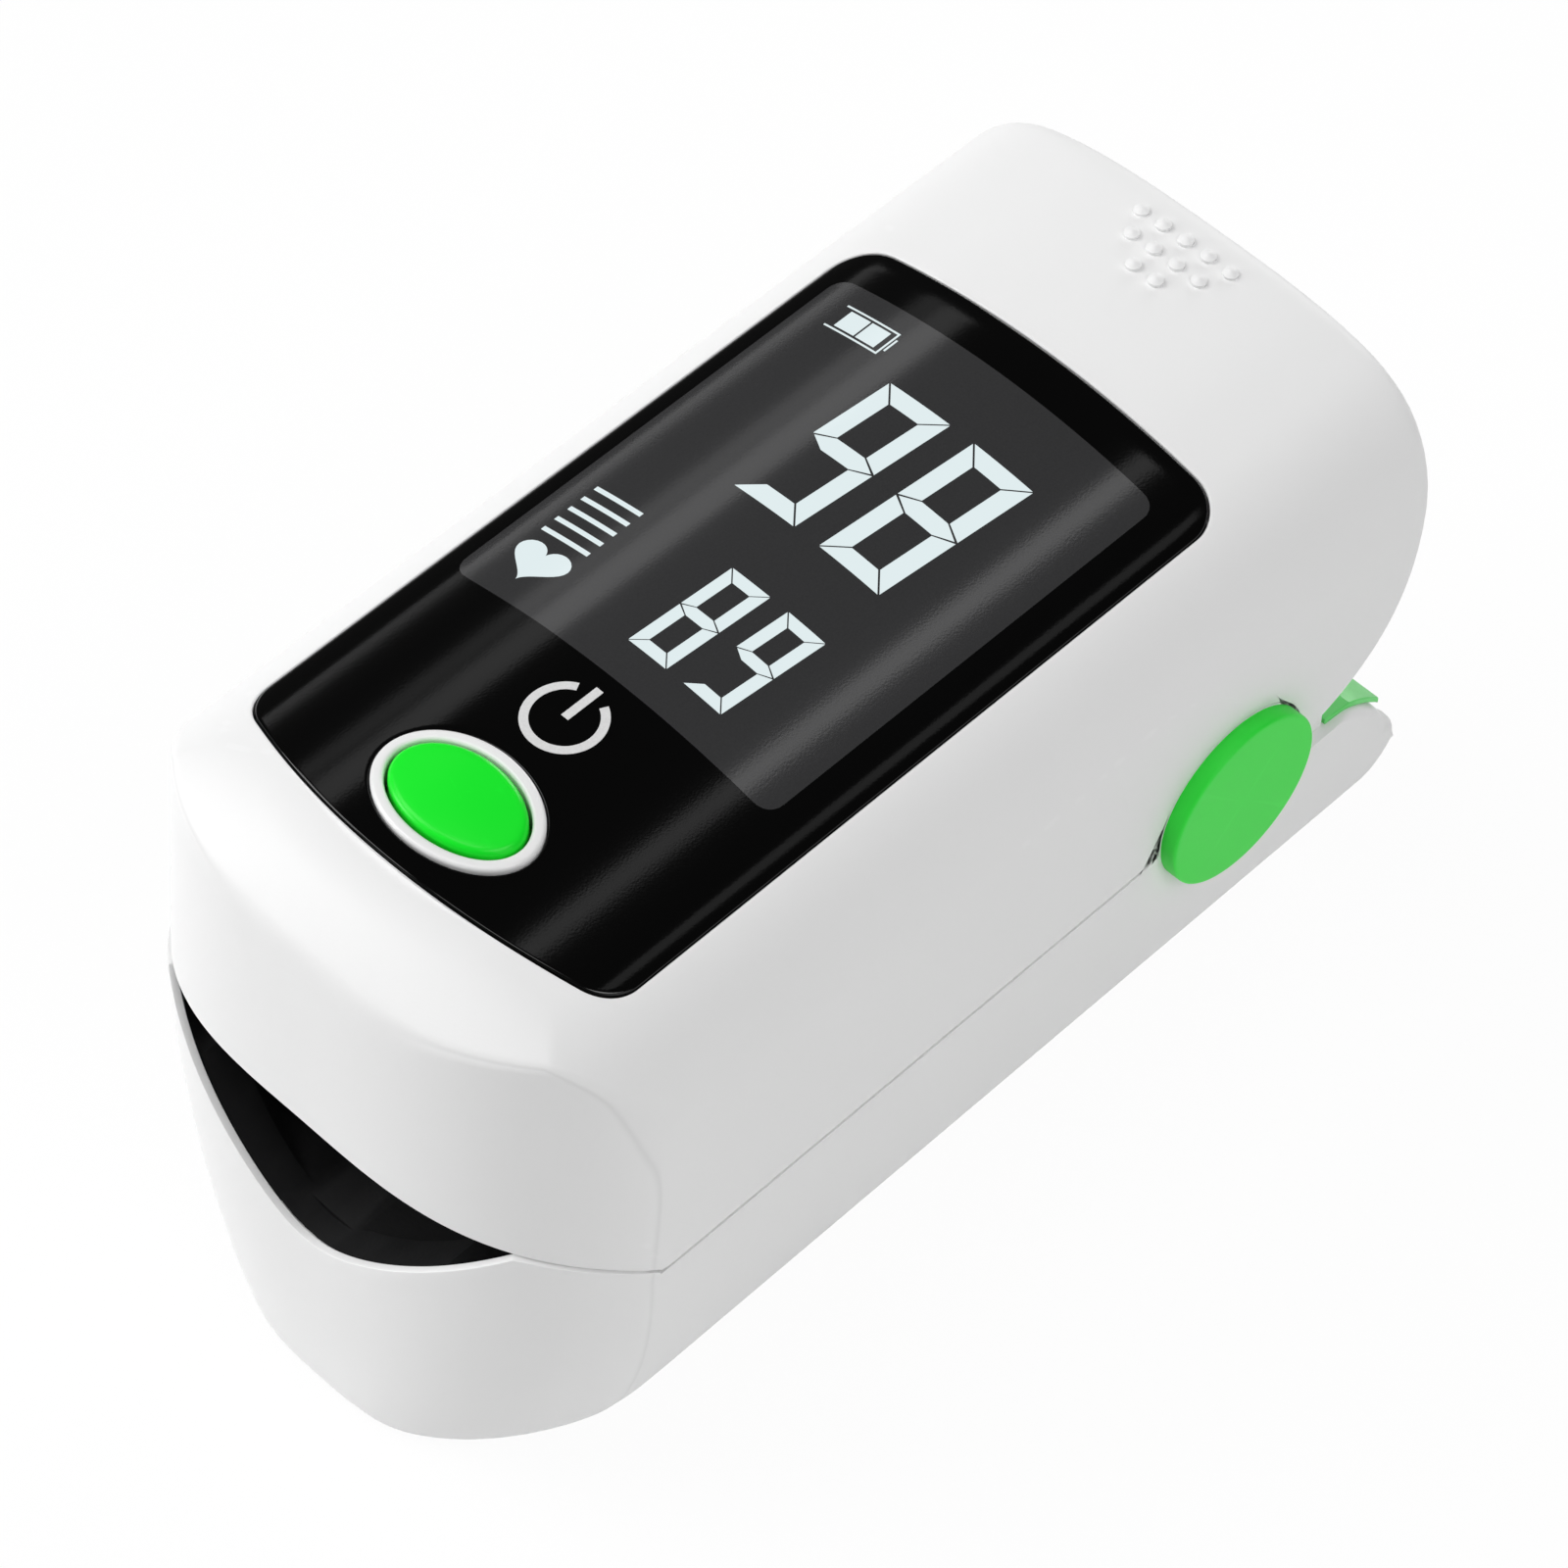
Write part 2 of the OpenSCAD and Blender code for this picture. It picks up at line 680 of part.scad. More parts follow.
module lower_pad() color("#151515") {
    r = groove_w / 2;
    split = (pad_split_lo + pad_split_hi) / 2;
    intersection() {
        along_z(0, seam_z - seam_gap / 2) difference() {
            low_plan(lip_wall + 0.05);
            low_plan(wall + pad_gap + 0.4);
        }
        along_x(-far, crease_x - 0.1) liner_band(0.05, -0.1);
    }
    difference() {
        intersection() {
            along_z(0, far) low_plan(wall + pad_gap);
            pad_sides();
            along_y(-far, far) polygon([[-far, deck_z], [deck_front - 0.1, deck_z],
                [deck_front - 0.1, deck_top], [groove_end, deck_top], [groove_end, pad_split_lo],
                [-far, pad_split_lo]]);
        }
        translate([0, 0, split]) along_x(-far, far) oval(2 * r, 2 * (split - groove_lo));
        translate([flare_x, 0, split]) rotate([0, -flare_a, 0]) along_x(-far, 0)
            oval(2 * r, 2 * (split - groove_lo));
        box(light_x - sensor_l / 2 - 0.1, light_x + sensor_l / 2 + 0.1, -sensor_w / 2 - 0.1,
            sensor_w / 2 + 0.1, 0, deck_top + sensor_t);
        box(light_x, far, -flex_w / 2 - 0.3, flex_w / 2 + 0.3, 0, deck_top + 0.4);
        translate([light_x, 0, 0]) cylinder(r = detector_r + fit_gap, h = far);
    }
}

module sensor_board() color("darkgreen") {
    box(light_x - sensor_l / 2, light_x + sensor_l / 2, -sensor_w / 2, sensor_w / 2,
        deck_top, deck_top + sensor_t);
}

module photodiode() color("dimgray") {
    z = deck_top + sensor_t;
    box(light_x - diode_w / 2, light_x + diode_w / 2, -diode_w / 2, diode_w / 2, z, z + diode_t);
}

module detector_window() color("firebrick") {
    z = deck_top + sensor_t + diode_t;
    translate([light_x, 0, z]) cylinder(r = detector_r, h = groove_lo - 0.1 - z);
}

module aaa_cells() color("silver") {
    cell(bay_x0 + spring_l, cell_y, 1);
    cell(bay_x1 - spring_l, -cell_y, -1);
}

module contact_bridge() color("gold") {
    box(bay_x0 - contact_t, bay_x0, -contact_y, contact_y, contact_z0, contact_z1);
}

module contact_terminals() color("gold") {
    both_sides() box(bay_x1, bay_x1 + contact_t, 1, contact_y, contact_z0, contact_z1);
}

module contact_springs() color("gold") {
    contact_spring(bay_x0, cell_y, 1);
    contact_spring(bay_x1, -cell_y, -1);
}

module lower_screws() color("silver") {
    for (x = screw_x, y = [-screw_y, screw_y]) screw(x, y, deck_top, false);
}

module hinge_pin() color("silver") {
    at_hinge(-pin_half, pin_half, pin_r);
}

module hinge_cap() color("limegreen") {
    at_hinge(half_w, half_w + cap_out, cap_r);
    at_hinge(half_w - peg_l, half_w, peg_r);
}

module hinge_cap_left() {
    hinge_cap();
}

module hinge_cap_right() {
    mirror([0, 1, 0]) hinge_cap();
}

module torsion_spring_left() color("silver") {
    torsion_spring();
}

module torsion_spring_right() color("silver") {
    mirror([0, 1, 0]) torsion_spring();
}

// A flat cable from the sensor board under the hinge pin and up to the main board
module flex_cable() color("orange") {
    route = [[light_x + sensor_l / 2 + 0.1, deck_top + 0.2], [hinge_x + 4.3, deck_top + 0.2],
        [hinge_x + 6.5, deck_top + 1.7], [hinge_x + 7.3, hinge_z + 0.1], [hinge_x + 6.9, plate_z - 1],
        [hinge_x + 5.3, board_z - 2.6], [connector_x, board_z - connector_h - 0.3]];
    last = len(route) - 1;
    skin = 0.12;
    back = [for (i = [last:-1:0]) let (t = unit(route[min(last, i + 1)] - route[max(0, i - 1)]))
        route[i] + skin * [t[1], -t[0]]];
    along_y(-flex_w / 2, flex_w / 2) polygon(concat(route, back));
}

module top_outer(d = 0) {
    intersection() {
        top_block(-far, far, d);
        along_x(-far, far) top_section(d);
        along_y(-far, far) top_profile(d);
    }
}

module grip_dots() {
    rows = [5, 4, 2];
    for (i = [0:2], j = [0:rows[i] - 1]) {
        y = (j - (rows[i] - 1) / 2) * dot_pitch;
        z = crown_z + sqrt(crown_r * crown_r - y * y);
        translate([rear_x - dots_from_rear - dot_rows * i, y, z - dot_r / 2]) sphere(r = dot_r, $fn = 24);
    }
}

module upper_shell() color("white") {
    difference() {
        union() {
            difference() {
                intersection() {
                    top_outer();
                    box(-far, far, -far, far, seam_z + seam_gap / 2, far);
                }
                top_outer(wall);
                box(-far / 2, open_x, -in_w, in_w, 0, hinge_z + wall);
            }
            intersection() {
                top_outer(wall - eps);
                crown_skin(lens_t, lens_t + lens_ledge);
                along_z(plate_top, far) lens_outline(lens_land);
            }
            intersection() {
                top_outer(wall - eps);
                for (x = screw_x) both_sides()
                    translate([x, screw_y, plate_top]) cylinder(r = boss_r, h = far);
            }
            grip_dots();
        }
        intersection() {
            crown_skin(-1, lens_t);
            along_z(0, far) lens_outline(lens_gap);
        }
        box(display_x - display_l / 2 - 0.2, display_x + display_l / 2 + 0.2,
            -display_w / 2 - 0.2, display_w / 2 + 0.2, board_z, far);
        translate([button_x, 0, board_z]) linear_extrude(far)
            oval(button_l + 2 * flange + 0.2, button_w + 2 * flange + 0.2);
        for (x = screw_x) both_sides()
            translate([x, screw_y, 0]) cylinder(r = screw_r + run_gap, h = plate_z + screw_l + 0.2);
        lap_room();
        both_sides() at_hinge(in_w - 1, half_w + 1, lobe_r + lobe_gap);
        along_x(-far, crease_x + 1) front_arch(seam_gap / 2);
    }
}

module lens_panel() color("#101010") {
    difference() {
        intersection() {
            crown_skin(0, lens_t);
            along_z(0, far) lens_outline();
        }
        translate([button_x, 0, 0]) linear_extrude(far)
            oval(button_l + 2 * (button_gap + ring_w + fit_gap), button_w + 2 * (button_gap + ring_w + fit_gap));
    }
}

module button_ring() color("white") {
    difference() {
        intersection() {
            crown_skin(-ring_out, lens_t);
            translate([button_x, 0, 0]) linear_extrude(far)
                oval(button_l + 2 * (button_gap + ring_w), button_w + 2 * (button_gap + ring_w));
        }
        translate([button_x, 0, 0]) linear_extrude(2 * far)
            oval(button_l + 2 * button_gap, button_w + 2 * button_gap);
    }
}

module power_button() color("limegreen") {
    top = body_h + button_out;
    intersection() {
        translate([button_x, 0, flange_z]) linear_extrude(top - flange_z) oval(button_l, button_w);
        translate([button_x, 0, top - dome_r]) sphere(r = dome_r, $fn = 96);
    }
    translate([button_x, 0, flange_z]) linear_extrude(flange_t)
        oval(button_l + 2 * flange, button_w + 2 * flange);
}

module switch_plunger() color("dimgray") {
    z = board_top + 0.3 + button_travel;
    translate([button_x, 0, z]) cylinder(r = plunger_r, h = flange_z - z);
}

module tact_switch() color("silver") {
    difference() {
        box(button_x - switch_w / 2, button_x + switch_w / 2, -switch_w / 2, switch_w / 2,
            board_top, board_top + switch_h);
        translate([button_x, 0, board_top + 0.2]) cylinder(r = plunger_r + run_gap, h = far);
    }
}

module display_module() color("#303030") {
    box(display_x - display_l / 2, display_x + display_l / 2, -display_w / 2, display_w / 2,
        board_top, board_top + display_t);
}

module main_board() color("darkgreen") {
    difference() {
        box(board_x - board_l / 2, board_x + board_l / 2, -board_w / 2, board_w / 2, board_z, board_top);
        for (x = [-post_x, post_x], y = [-post_y, post_y])
            translate([board_x + x, y, 0]) cylinder(r = post_peg_r + fit_gap, h = far);
    }
}

module processor_chip() color("#202020") {
    translate([board_x - 2, 0, board_z - chip_t]) linear_extrude(chip_t) square(chip_w, center = true);
}

// Small parts on the underside of the main board: a row of capacitors, a crystal and a coil
module board_parts() color("tan") {
    for (i = [0:5]) translate([board_x - 15.5 + 1.8 * i, board_w / 2 - 2.5, board_z - 0.6])
        linear_extrude(0.6) square([1, 2], center = true);
    translate([board_x + 6.6, 3.3 - board_w / 2, board_z - 0.9])
        linear_extrude(0.9) square([3.2, 2.6], center = true);
    translate([board_x + 10, board_w / 2 - 5, board_z - 1.2]) cylinder(r = 1.8, h = 1.2);
}

module flex_connector() color("ivory") {
    box(connector_x - connector_h, connector_x + connector_h, -connector_w / 2, connector_w / 2,
        board_z - connector_h, board_z);
}

module upper_inner_frame() color("limegreen") {
    difference() {
        union() {
            intersection() {
                top_block(plate_z, plate_top, wall + side_gap);
                box(-far / 2, open_x, -far, far, 0, far);
            }
            both_sides() {
                at_hinge(top_ear_y, top_ear_y + ear_t, ear_r);
                box(hinge_x - ear_r, hinge_x + ear_r, top_ear_y, top_ear_y + ear_t, hinge_z, plate_z + eps);
            }
            for (x = [-post_x, post_x], y = [-post_y, post_y]) translate([board_x + x, y, plate_z + eps]) {
                cylinder(r = post_r, h = board_z - plate_z - eps);
                cylinder(r = post_peg_r, h = board_top - plate_z);
            }
        }
        at_hinge(-far, far, pin_r + run_gap);
        for (x = screw_x) both_sides()
            translate([x, screw_y, 0]) cylinder(r = screw_r + run_gap, h = far);
        box(deck_end - 1, open_x + 1, -flex_w / 2 - flex_room, flex_w / 2 + flex_room, 0, far);
    }
}

module upper_pad() color("#151515") {
    r = groove_w / 2;
    split = (pad_split_lo + pad_split_hi) / 2;
    difference() {
        intersection() {
            top_block(pad_split_hi, plate_z, wall + pad_gap);
            pad_sides();
        }
        translate([0, 0, split]) along_x(-far, far) oval(2 * r, 2 * (groove_hi - split));
        translate([light_x, 0, 0]) cylinder(r = emitter_r + fit_gap, h = far);
    }
}

module emitter_led() color("white") {
    box(light_x - led_l / 2, light_x + led_l / 2, -led_w / 2, led_w / 2, plate_z - led_h, plate_z);
}

module emitter_window() color("firebrick") {
    translate([light_x, 0, plate_z - led_h - window_t]) cylinder(r = emitter_r, h = window_t);
}

module upper_screws() color("silver") {
    for (x = screw_x, y = [-screw_y, screw_y]) screw(x, y, plate_z, true);
}

lower_shell();
lower_inner_frame();
lower_pad();
sensor_board();
photodiode();
detector_window();
aaa_cells();
contact_bridge();
contact_terminals();
contact_springs();
lower_screws();
hinge_pin();
hinge_cap_left();
hinge_cap_right();
torsion_spring_left();
torsion_spring_right();
flex_cable();
battery_cover();
upper_shell();
lens_panel();
button_ring();
display_module();
main_board();
processor_chip();
board_parts();
flex_connector();
tact_switch();
upper_inner_frame();
upper_pad();
emitter_led();
emitter_window();
upper_screws();
power_button();
switch_plunger();
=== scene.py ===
# %% [markdown]
# # A fingertip pulse oximeter
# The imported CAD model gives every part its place, in metres. This script keeps the hidden parts
# as they are and makes the visible ones again as smooth surfaces, because a CAD solid has flat
# facets and sharp edges that real moulded plastic never has.

# %% Load the frame
import json
import bmesh
import bpy
import numpy as np
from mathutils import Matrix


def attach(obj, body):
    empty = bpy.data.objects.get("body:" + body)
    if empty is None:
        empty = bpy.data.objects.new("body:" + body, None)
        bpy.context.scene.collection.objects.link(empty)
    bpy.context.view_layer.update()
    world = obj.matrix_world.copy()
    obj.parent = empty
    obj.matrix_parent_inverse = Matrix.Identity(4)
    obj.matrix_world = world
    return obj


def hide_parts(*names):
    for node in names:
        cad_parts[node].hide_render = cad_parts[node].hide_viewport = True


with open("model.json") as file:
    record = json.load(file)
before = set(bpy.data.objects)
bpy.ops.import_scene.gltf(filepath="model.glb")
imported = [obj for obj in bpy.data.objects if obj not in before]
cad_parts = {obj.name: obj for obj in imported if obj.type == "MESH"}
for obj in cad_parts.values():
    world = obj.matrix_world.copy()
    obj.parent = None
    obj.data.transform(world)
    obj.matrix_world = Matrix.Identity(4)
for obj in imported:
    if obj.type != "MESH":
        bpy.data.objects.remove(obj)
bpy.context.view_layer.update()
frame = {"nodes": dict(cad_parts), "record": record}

# %% [markdown]
# ## Camera
# The object is seen from high over its near front corner, with a long lens, so that parallel
# edges stay nearly parallel. A camera could be aimed by hand, but three vectors are exact: the
# line of sight, the level direction beside it, and a small roll.

# %% Camera
MM = 0.001


def unit(v):
    """Vectors divided by their length."""
    return v / np.maximum(np.linalg.norm(v, axis=-1, keepdims=True), 1e-12)


def xyz(x, y, z):
    """Points from three arrays or numbers, stretched to one shape."""
    return np.stack(np.broadcast_arrays(x, y, z), -1)


def add_object(name, data):
    """A new object of the scene that holds a mesh, a lamp or a camera."""
    thing = bpy.data.objects.new(name, data)
    bpy.context.collection.objects.link(thing)
    return thing


def set_pose(thing, x, y, z, place):
    """Stands a camera or a lamp at a place in mm, with its own axes along x, y and z."""
    pose = np.eye(4)
    pose[:3] = np.stack([x, y, z, np.array(place) * MM], 1)
    thing.matrix_world = pose.T.tolist()


eye = np.array([-124.91, -121.57, 245.36])
target = np.array([-1.45, -2.48, 22.62])
roll = np.radians(0.9292)
back = unit(eye - target)
level = unit(np.cross([0, 0, 1], back))
right = np.cos(roll) * level + np.sin(roll) * np.cross(back, level)
camera = add_object("camera", bpy.data.cameras.new("camera"))
set_pose(camera, right, np.cross(back, right), back, eye)
camera.data.sensor_width = 36
camera.data.lens = 138.24
camera.data.clip_start = 0.01
bpy.context.scene.camera = camera
print("camera distance in mm:", round(float(np.linalg.norm(eye - target)), 1))

# %% [markdown]
# ## Sizes
# Every new surface is worked out in millimetres from the same numbers as the CAD solids, and
# scaled to metres when its mesh is made. The body is a nose that bulges forward, straight sides,
# round shoulders and a low crown. X runs from nose to tail and Z is up.

# %% Sizes of the body
HALF_W, WALL, FLOOR, SEAM_Z, TOP_Z = 15.45, 1.5, 1.2, 17.5, 35.7
NOSE_X, CREASE_X, NOSE_P, LEAN = -30.25, -22.25, 0.735, np.radians(5.3)
NOSE_L = CREASE_X - NOSE_X
TUCK, CHIN_L, CHIN_H, STERN_R = 7.0, 0.9, 0.6, 6.0
TAIL_X, TAIL_R, TAIL_START, TAIL_Z, TAIL_DROP = 30.1, 0.8, 24, 16.1, 7.1
HEEL_X, HEEL_Z, HEEL_R = 28.5, 33.95, 1.75
PINCH_X, PINCH_Z, PINCH_R = 19.15, 28.3, 11.1
SAG, SAG_R, SAG_Z, END_Z = 0.65, 3.4, 17.6, 31
HINGE_X, HINGE_Z, LOBE_R, NOTCH_R, OPEN_X = 15.7, 18.4, 4.98, 5.04, 24.17
CROWN_R, SHOULDER_R = 40.0, 7.0
CROWN_Z, SHOULDER_Y = TOP_Z - CROWN_R, HALF_W - SHOULDER_R
SHOULDER_Z = CROWN_Z + np.sqrt((CROWN_R - SHOULDER_R) ** 2 - SHOULDER_Y ** 2)
BROW_X, BROW_L, BROW_H = -23.7, 5.5, 4.6
EDGE_R, CHIN_EDGE_R, STERN_EDGE_R, JOINT, JOINT_W = 0.35, 0.3, 0.5, 0.05, 0.13
BULGE, BULGE_Z, BULGE_L = 0.75, 29, 3.2
print("shoulder arc about y, z in mm:", round(SHOULDER_Y, 2), round(float(SHOULDER_Z), 2))

# %% [markdown]
# ## Surfaces from distances
# A moulded body is the common part of a few simple shapes: its outline from above, from the
# front and from the side. Each is written as a distance, negative inside. The largest of them
# is the body, and a rounded largest gives the small radius that a mould has along each edge.

# %% Distances
def round_max(a, b, r):
    """The larger of two distances; where both are within r of the edge, their corner becomes a
    quarter circle: length of (a + r, b + r) minus r."""
    inner = np.minimum(np.maximum(a, b), -r)
    return inner + np.hypot(np.maximum(a + r, 0), np.maximum(b + r, 0))


# The slope grows without end where the outline meets the side, so it stops just short of that.
NOSE_END = 0.9995


def nose_reach(x, y, w):
    """How far a point is in front of the nose outline x = crease - 8 * (1 - |y/w|^3)^0.735."""
    return CREASE_X - NOSE_L * (1 - np.clip(np.abs(y) / w, 0, NOSE_END) ** 3) ** NOSE_P - x


def nose_distance(x, y, w, d):
    """The reach divided by the length of the outline's slope, which makes it a true distance
    near the surface."""
    u = np.clip(np.abs(y) / w, 0, NOSE_END)
    slope = NOSE_L * NOSE_P * (1 - u ** 3) ** (NOSE_P - 1) * 3 * u ** 2 / w
    return nose_reach(x, y, w) / np.hypot(1, slope) + d


spread = np.linspace(0, HALF_W, 4)
print("nose outline from middle to side in mm:", nose_reach(0, spread, HALF_W).round(2))

# %% Section and brow
def section_distance(y, z):
    """Distance from straight sides, round shoulders and a crown that is an arc of 40 mm."""
    side = np.abs(y)
    crown = np.hypot(side, z - CROWN_Z) - CROWN_R
    shoulder = np.hypot(np.maximum(side - SHOULDER_Y, 0), np.maximum(z - SHOULDER_Z, 0))
    under_crown = side * (SHOULDER_Z - CROWN_Z) < (z - CROWN_Z) * SHOULDER_Y
    return np.where(under_crown, crown, shoulder - SHOULDER_R)


def brow_distance(x, y, z):
    """Distance from the rounding in front of the lens: the crown turns down to the nose in an
    ellipse about the line x = -23.7, 5.5 mm long and 4.6 mm high. Lower down it leaves the nose."""
    over = z - TOP_Z + CROWN_R - np.sqrt(CROWN_R ** 2 - np.minimum(y * y, 300)) + BROW_H
    ahead = np.maximum(BROW_X - x, 0) * BROW_H / BROW_L
    return np.where(over > 0, np.hypot(ahead, over), ahead + 0.3 * over) - BROW_H


print("brow runs from x =", BROW_X, "to", BROW_X - BROW_L)

# %% Distance of the upper shell
def lean(x, z):
    """Where a point stands against a nose that leans back by 5.3 degrees."""
    return NOSE_X + (x - NOSE_X - np.tan(LEAN) * (z - SEAM_Z)) * np.cos(LEAN)


def upper_distance(p, d=0.0):
    """Distance of points from a surface that lies d inside the upper shell: the section, the
    nose that leans back, and the round pinch end with its sag from above, 0.65 mm times the
    square of y over the half-width plus a quarter circle of 3.4 mm at the sides."""
    x, y, z = p[..., 0], p[..., 1], p[..., 2]
    nose = nose_distance(lean(x, z), y, HALF_W, 0)
    over = np.clip((np.abs(y) - HALF_W + SAG_R) / SAG_R, 0, 0.995)
    sag = SAG * (y / HALF_W) ** 2 + 1 - np.sqrt(1 - over ** 2)
    share = np.clip((z - SAG_Z) / (PINCH_Z - SAG_Z), 0, 1)
    xs = x + sag * share * share * (3 - 2 * share)
    heel = np.hypot(np.maximum(xs - HEEL_X, 0), np.maximum(z - HEEL_Z, 0)) - HEEL_R
    pinch = np.hypot(np.maximum(xs - PINCH_X, 0), np.maximum(PINCH_Z - z, 0)) - PINCH_R
    tail = np.where(z > END_Z, heel, pinch)
    section = np.maximum(section_distance(y, z), brow_distance(x, y, z))
    shell = round_max(section + d, nose + d, EDGE_R)
    return round_max(shell, tail + d, 2 * EDGE_R)


middle = np.array([[0.0, 0, 20], [0, 0, TOP_Z], [0, HALF_W, 20]])
print("upper shell distances in mm:", upper_distance(middle).round(2))

# %% Distance of the lower shell
def lower_distance(p, d=0.0, floor=0.0):
    """Distance from a surface that lies d inside the lower shell: a belly whose half-width is
    8.45 + 7 cos t at the height 17.5 (1 - sin t), the nose, the tail, the chin and the stern.
    Outside, the mould's joint stands 0.05 mm in where the belly meets the nose."""
    x, y, z = p[..., 0], p[..., 1], p[..., 2]
    side, flat = np.abs(y), HALF_W - TUCK
    a = np.maximum(side - flat, 0) / (TUCK - d)
    b = np.minimum(z - SEAM_Z, 0) / (SEAM_Z - floor)
    q = np.maximum(np.hypot(a, b), 1e-6)
    belly = (q - 1) * q / np.maximum(np.hypot(a / (TUCK - d), b / (SEAM_Z - floor)), 1e-6)
    belly = np.where(side > flat, belly, floor - z)
    sink = np.clip((z - floor) / (SEAM_Z - floor), 0, 1)
    w = flat + (TUCK - d) * np.sqrt(np.maximum(1 - (1 - sink) ** 2, 1e-4))
    nose = nose_distance(x, y * HALF_W / (w + d), HALF_W, d)
    tail = round_max(belly, x - TAIL_X + d, TAIL_R)
    outside = np.ndim(d) == 0 and d == 0
    joint = JOINT * np.exp(-((belly - nose) / JOINT_W) ** 2) if outside else 0
    l, h = np.maximum(CHIN_L - d, 0.1), max(CHIN_H - floor, 0.1)
    chin = np.hypot(np.minimum(x - NOSE_X - d - l, 0) / l, np.minimum(z - floor - h, 0) / h) - 1
    chin = np.where((x < NOSE_X + d + l) & (z < floor + h), chin * h, -9)
    stern = np.hypot(np.maximum(x - TAIL_X + STERN_R, 0),
                     np.minimum(z - STERN_R, 0) * (STERN_R - d) / (STERN_R - floor)) - STERN_R + d
    shell = round_max(round_max(tail, stern, STERN_EDGE_R), nose, CHIN_EDGE_R)
    return round_max(shell, chin, CHIN_EDGE_R) + joint


print("lower shell distances in mm:", lower_distance(middle - [0, 0, 10]).round(2))

# %% Place against the line where the nose begins
def crease_place(p):
    """Signed distance across the line where the nose begins, for points on the outer faces, and
    a share of 1 there: side or crown distance minus the nose's reach, or 0 and 0 elsewhere.
    A bulge of 0.75 mm rounds the line's corner at the shoulder. The share fades from 8 to 3 mm
    beside the middle, where the brow runs into the nose, and from 5 to 2 mm over the floor."""
    x, y, z = p[..., 0], p[..., 1], p[..., 2]
    bulge = BULGE * np.exp(-((z - BULGE_Z) / BULGE_L) ** 2)
    high = np.maximum(section_distance(y, z) + bulge, brow_distance(x, y, z))
    high = high - nose_reach(lean(x, z), y, HALF_W)
    sink = np.clip(z / SEAM_Z, 0, 1)
    half = HALF_W - TUCK + TUCK * np.sqrt(1 - (1 - sink) ** 2)
    low = np.abs(y) - half - nose_reach(x, y * HALF_W / half, HALF_W)
    skin = np.where(z > SEAM_Z - 0.01, upper_distance(p), lower_distance(p)) > -0.1
    share = skin * np.clip((z - 2) / 3, 0, 1) * (x < -14) * np.clip((np.abs(y) - 3) / 5, 0, 1)
    return np.stack([np.where(z > SEAM_Z, high, low) * share, share, 0 * share], -1)


print("place and share on the side:", crease_place(np.array([-20.0, HALF_W, 25])).round(2))

# %% [markdown]
# ## Sheets of points
# A sheet runs from one closed curve on a surface to another. From a point inside, the line of
# sight turns from the first curve to the second, and bisection finds where it leaves the body.
# The rows are then bunched where the surface bends, so that small radii get enough faces.

# %% Rays, normals and sheets
REACH, HALVINGS = 70.0, 26


def cross_surface(field, start, aim):
    """The points where rays leave a body: bisection on the sign of its distance."""
    near, far = np.zeros(aim.shape[:-1]), np.full(aim.shape[:-1], REACH)
    for _ in range(HALVINGS):
        half = (near + far) / 2
        inside = field(start + aim * half[..., None]) < 0
        near, far = np.where(inside, half, near), np.where(inside, far, half)
    return start + aim * ((near + far) / 2)[..., None]


def normals(field, p, h=0.02):
    """Outward directions: the slope of the distance, from differences over 2 h."""
    steps = np.eye(3) * h
    return unit(np.stack([field(p + s) - field(p - s) for s in steps], axis=-1))


def sheet(field, start, a, b, rows, bunch=2.5, steps=520):
    """Rows of surface points from curve a to curve b. The aim is the great-circle mix of the two
    directions from start; equal steps of length plus bunch times the turned angle set the rows."""
    ua, ub = unit(a - start), unit(b - start)
    angle = np.arccos(np.clip((ua * ub).sum(-1, keepdims=True), -1, 1))

    def at(t):
        """Surface points at the shares t of the way along each line of sight."""
        t = t[..., None]
        aim = (np.sin((1 - t) * angle) * ua + np.sin(t * angle) * ub) / np.sin(angle)
        return cross_surface(field, start, aim)

    t = np.linspace(0, 1, steps)
    p = at(np.repeat(t[:, None], len(a), 1))
    run = np.diff(p, axis=0)
    turn = np.arccos(np.clip((unit(run)[1:] * unit(run)[:-1]).sum(-1), -1, 1))
    size = np.linalg.norm(run, axis=-1)
    size[1:] += bunch * turn
    total = np.vstack([np.zeros(len(a)), np.cumsum(size, axis=0)])
    goal = np.linspace(0, 1, rows)
    return at(np.stack([np.interp(goal * column[-1], column, t) for column in total.T], 1))


meets = cross_surface(upper_distance, middle[:1], np.array([[0.0, 0, 1]]))
print("a ray up from the middle meets the crown at", meets.round(3))

# %% [markdown]
# ## Wall ends and meshes
# A wall never ends in a sharp edge: its end is a quarter circle, a flat and another quarter
# circle. Grids of points become meshes by one rule, and a mesh whose volume comes out negative
# is turned over, so that every face points outwards.

# %% Rounded wall ends
def wall_end(edge, out, off, thick, r, n=4):
    """Rows round the end of a wall: from its outer face over a quarter circle of radius r, along
    its end, and over a second quarter circle to its inner face. off points off the wall."""
    turn = np.linspace(0, np.pi / 2, n + 1)[:, None, None]
    thick = np.broadcast_to(thick, edge.shape[:-1])[:, None]
    first = edge - r * out - r * off + r * (np.cos(turn) * out + np.sin(turn) * off)
    second = edge - (thick - r) * out - r * off + r * (np.cos(turn) * off - np.sin(turn) * out)
    return np.concatenate([first, second])


def along(curve, out, away):
    """Directions in the surface, square to a closed curve, all to the side where away is."""
    run = unit(np.roll(curve, -1, 0) - np.roll(curve, 1, 0))
    off = unit(np.cross(run, out))
    return off * np.sign((off * away).sum())


print("rows of a wall end:", len(wall_end(meets, normals(upper_distance, meets), 0, WALL, 0.1)))

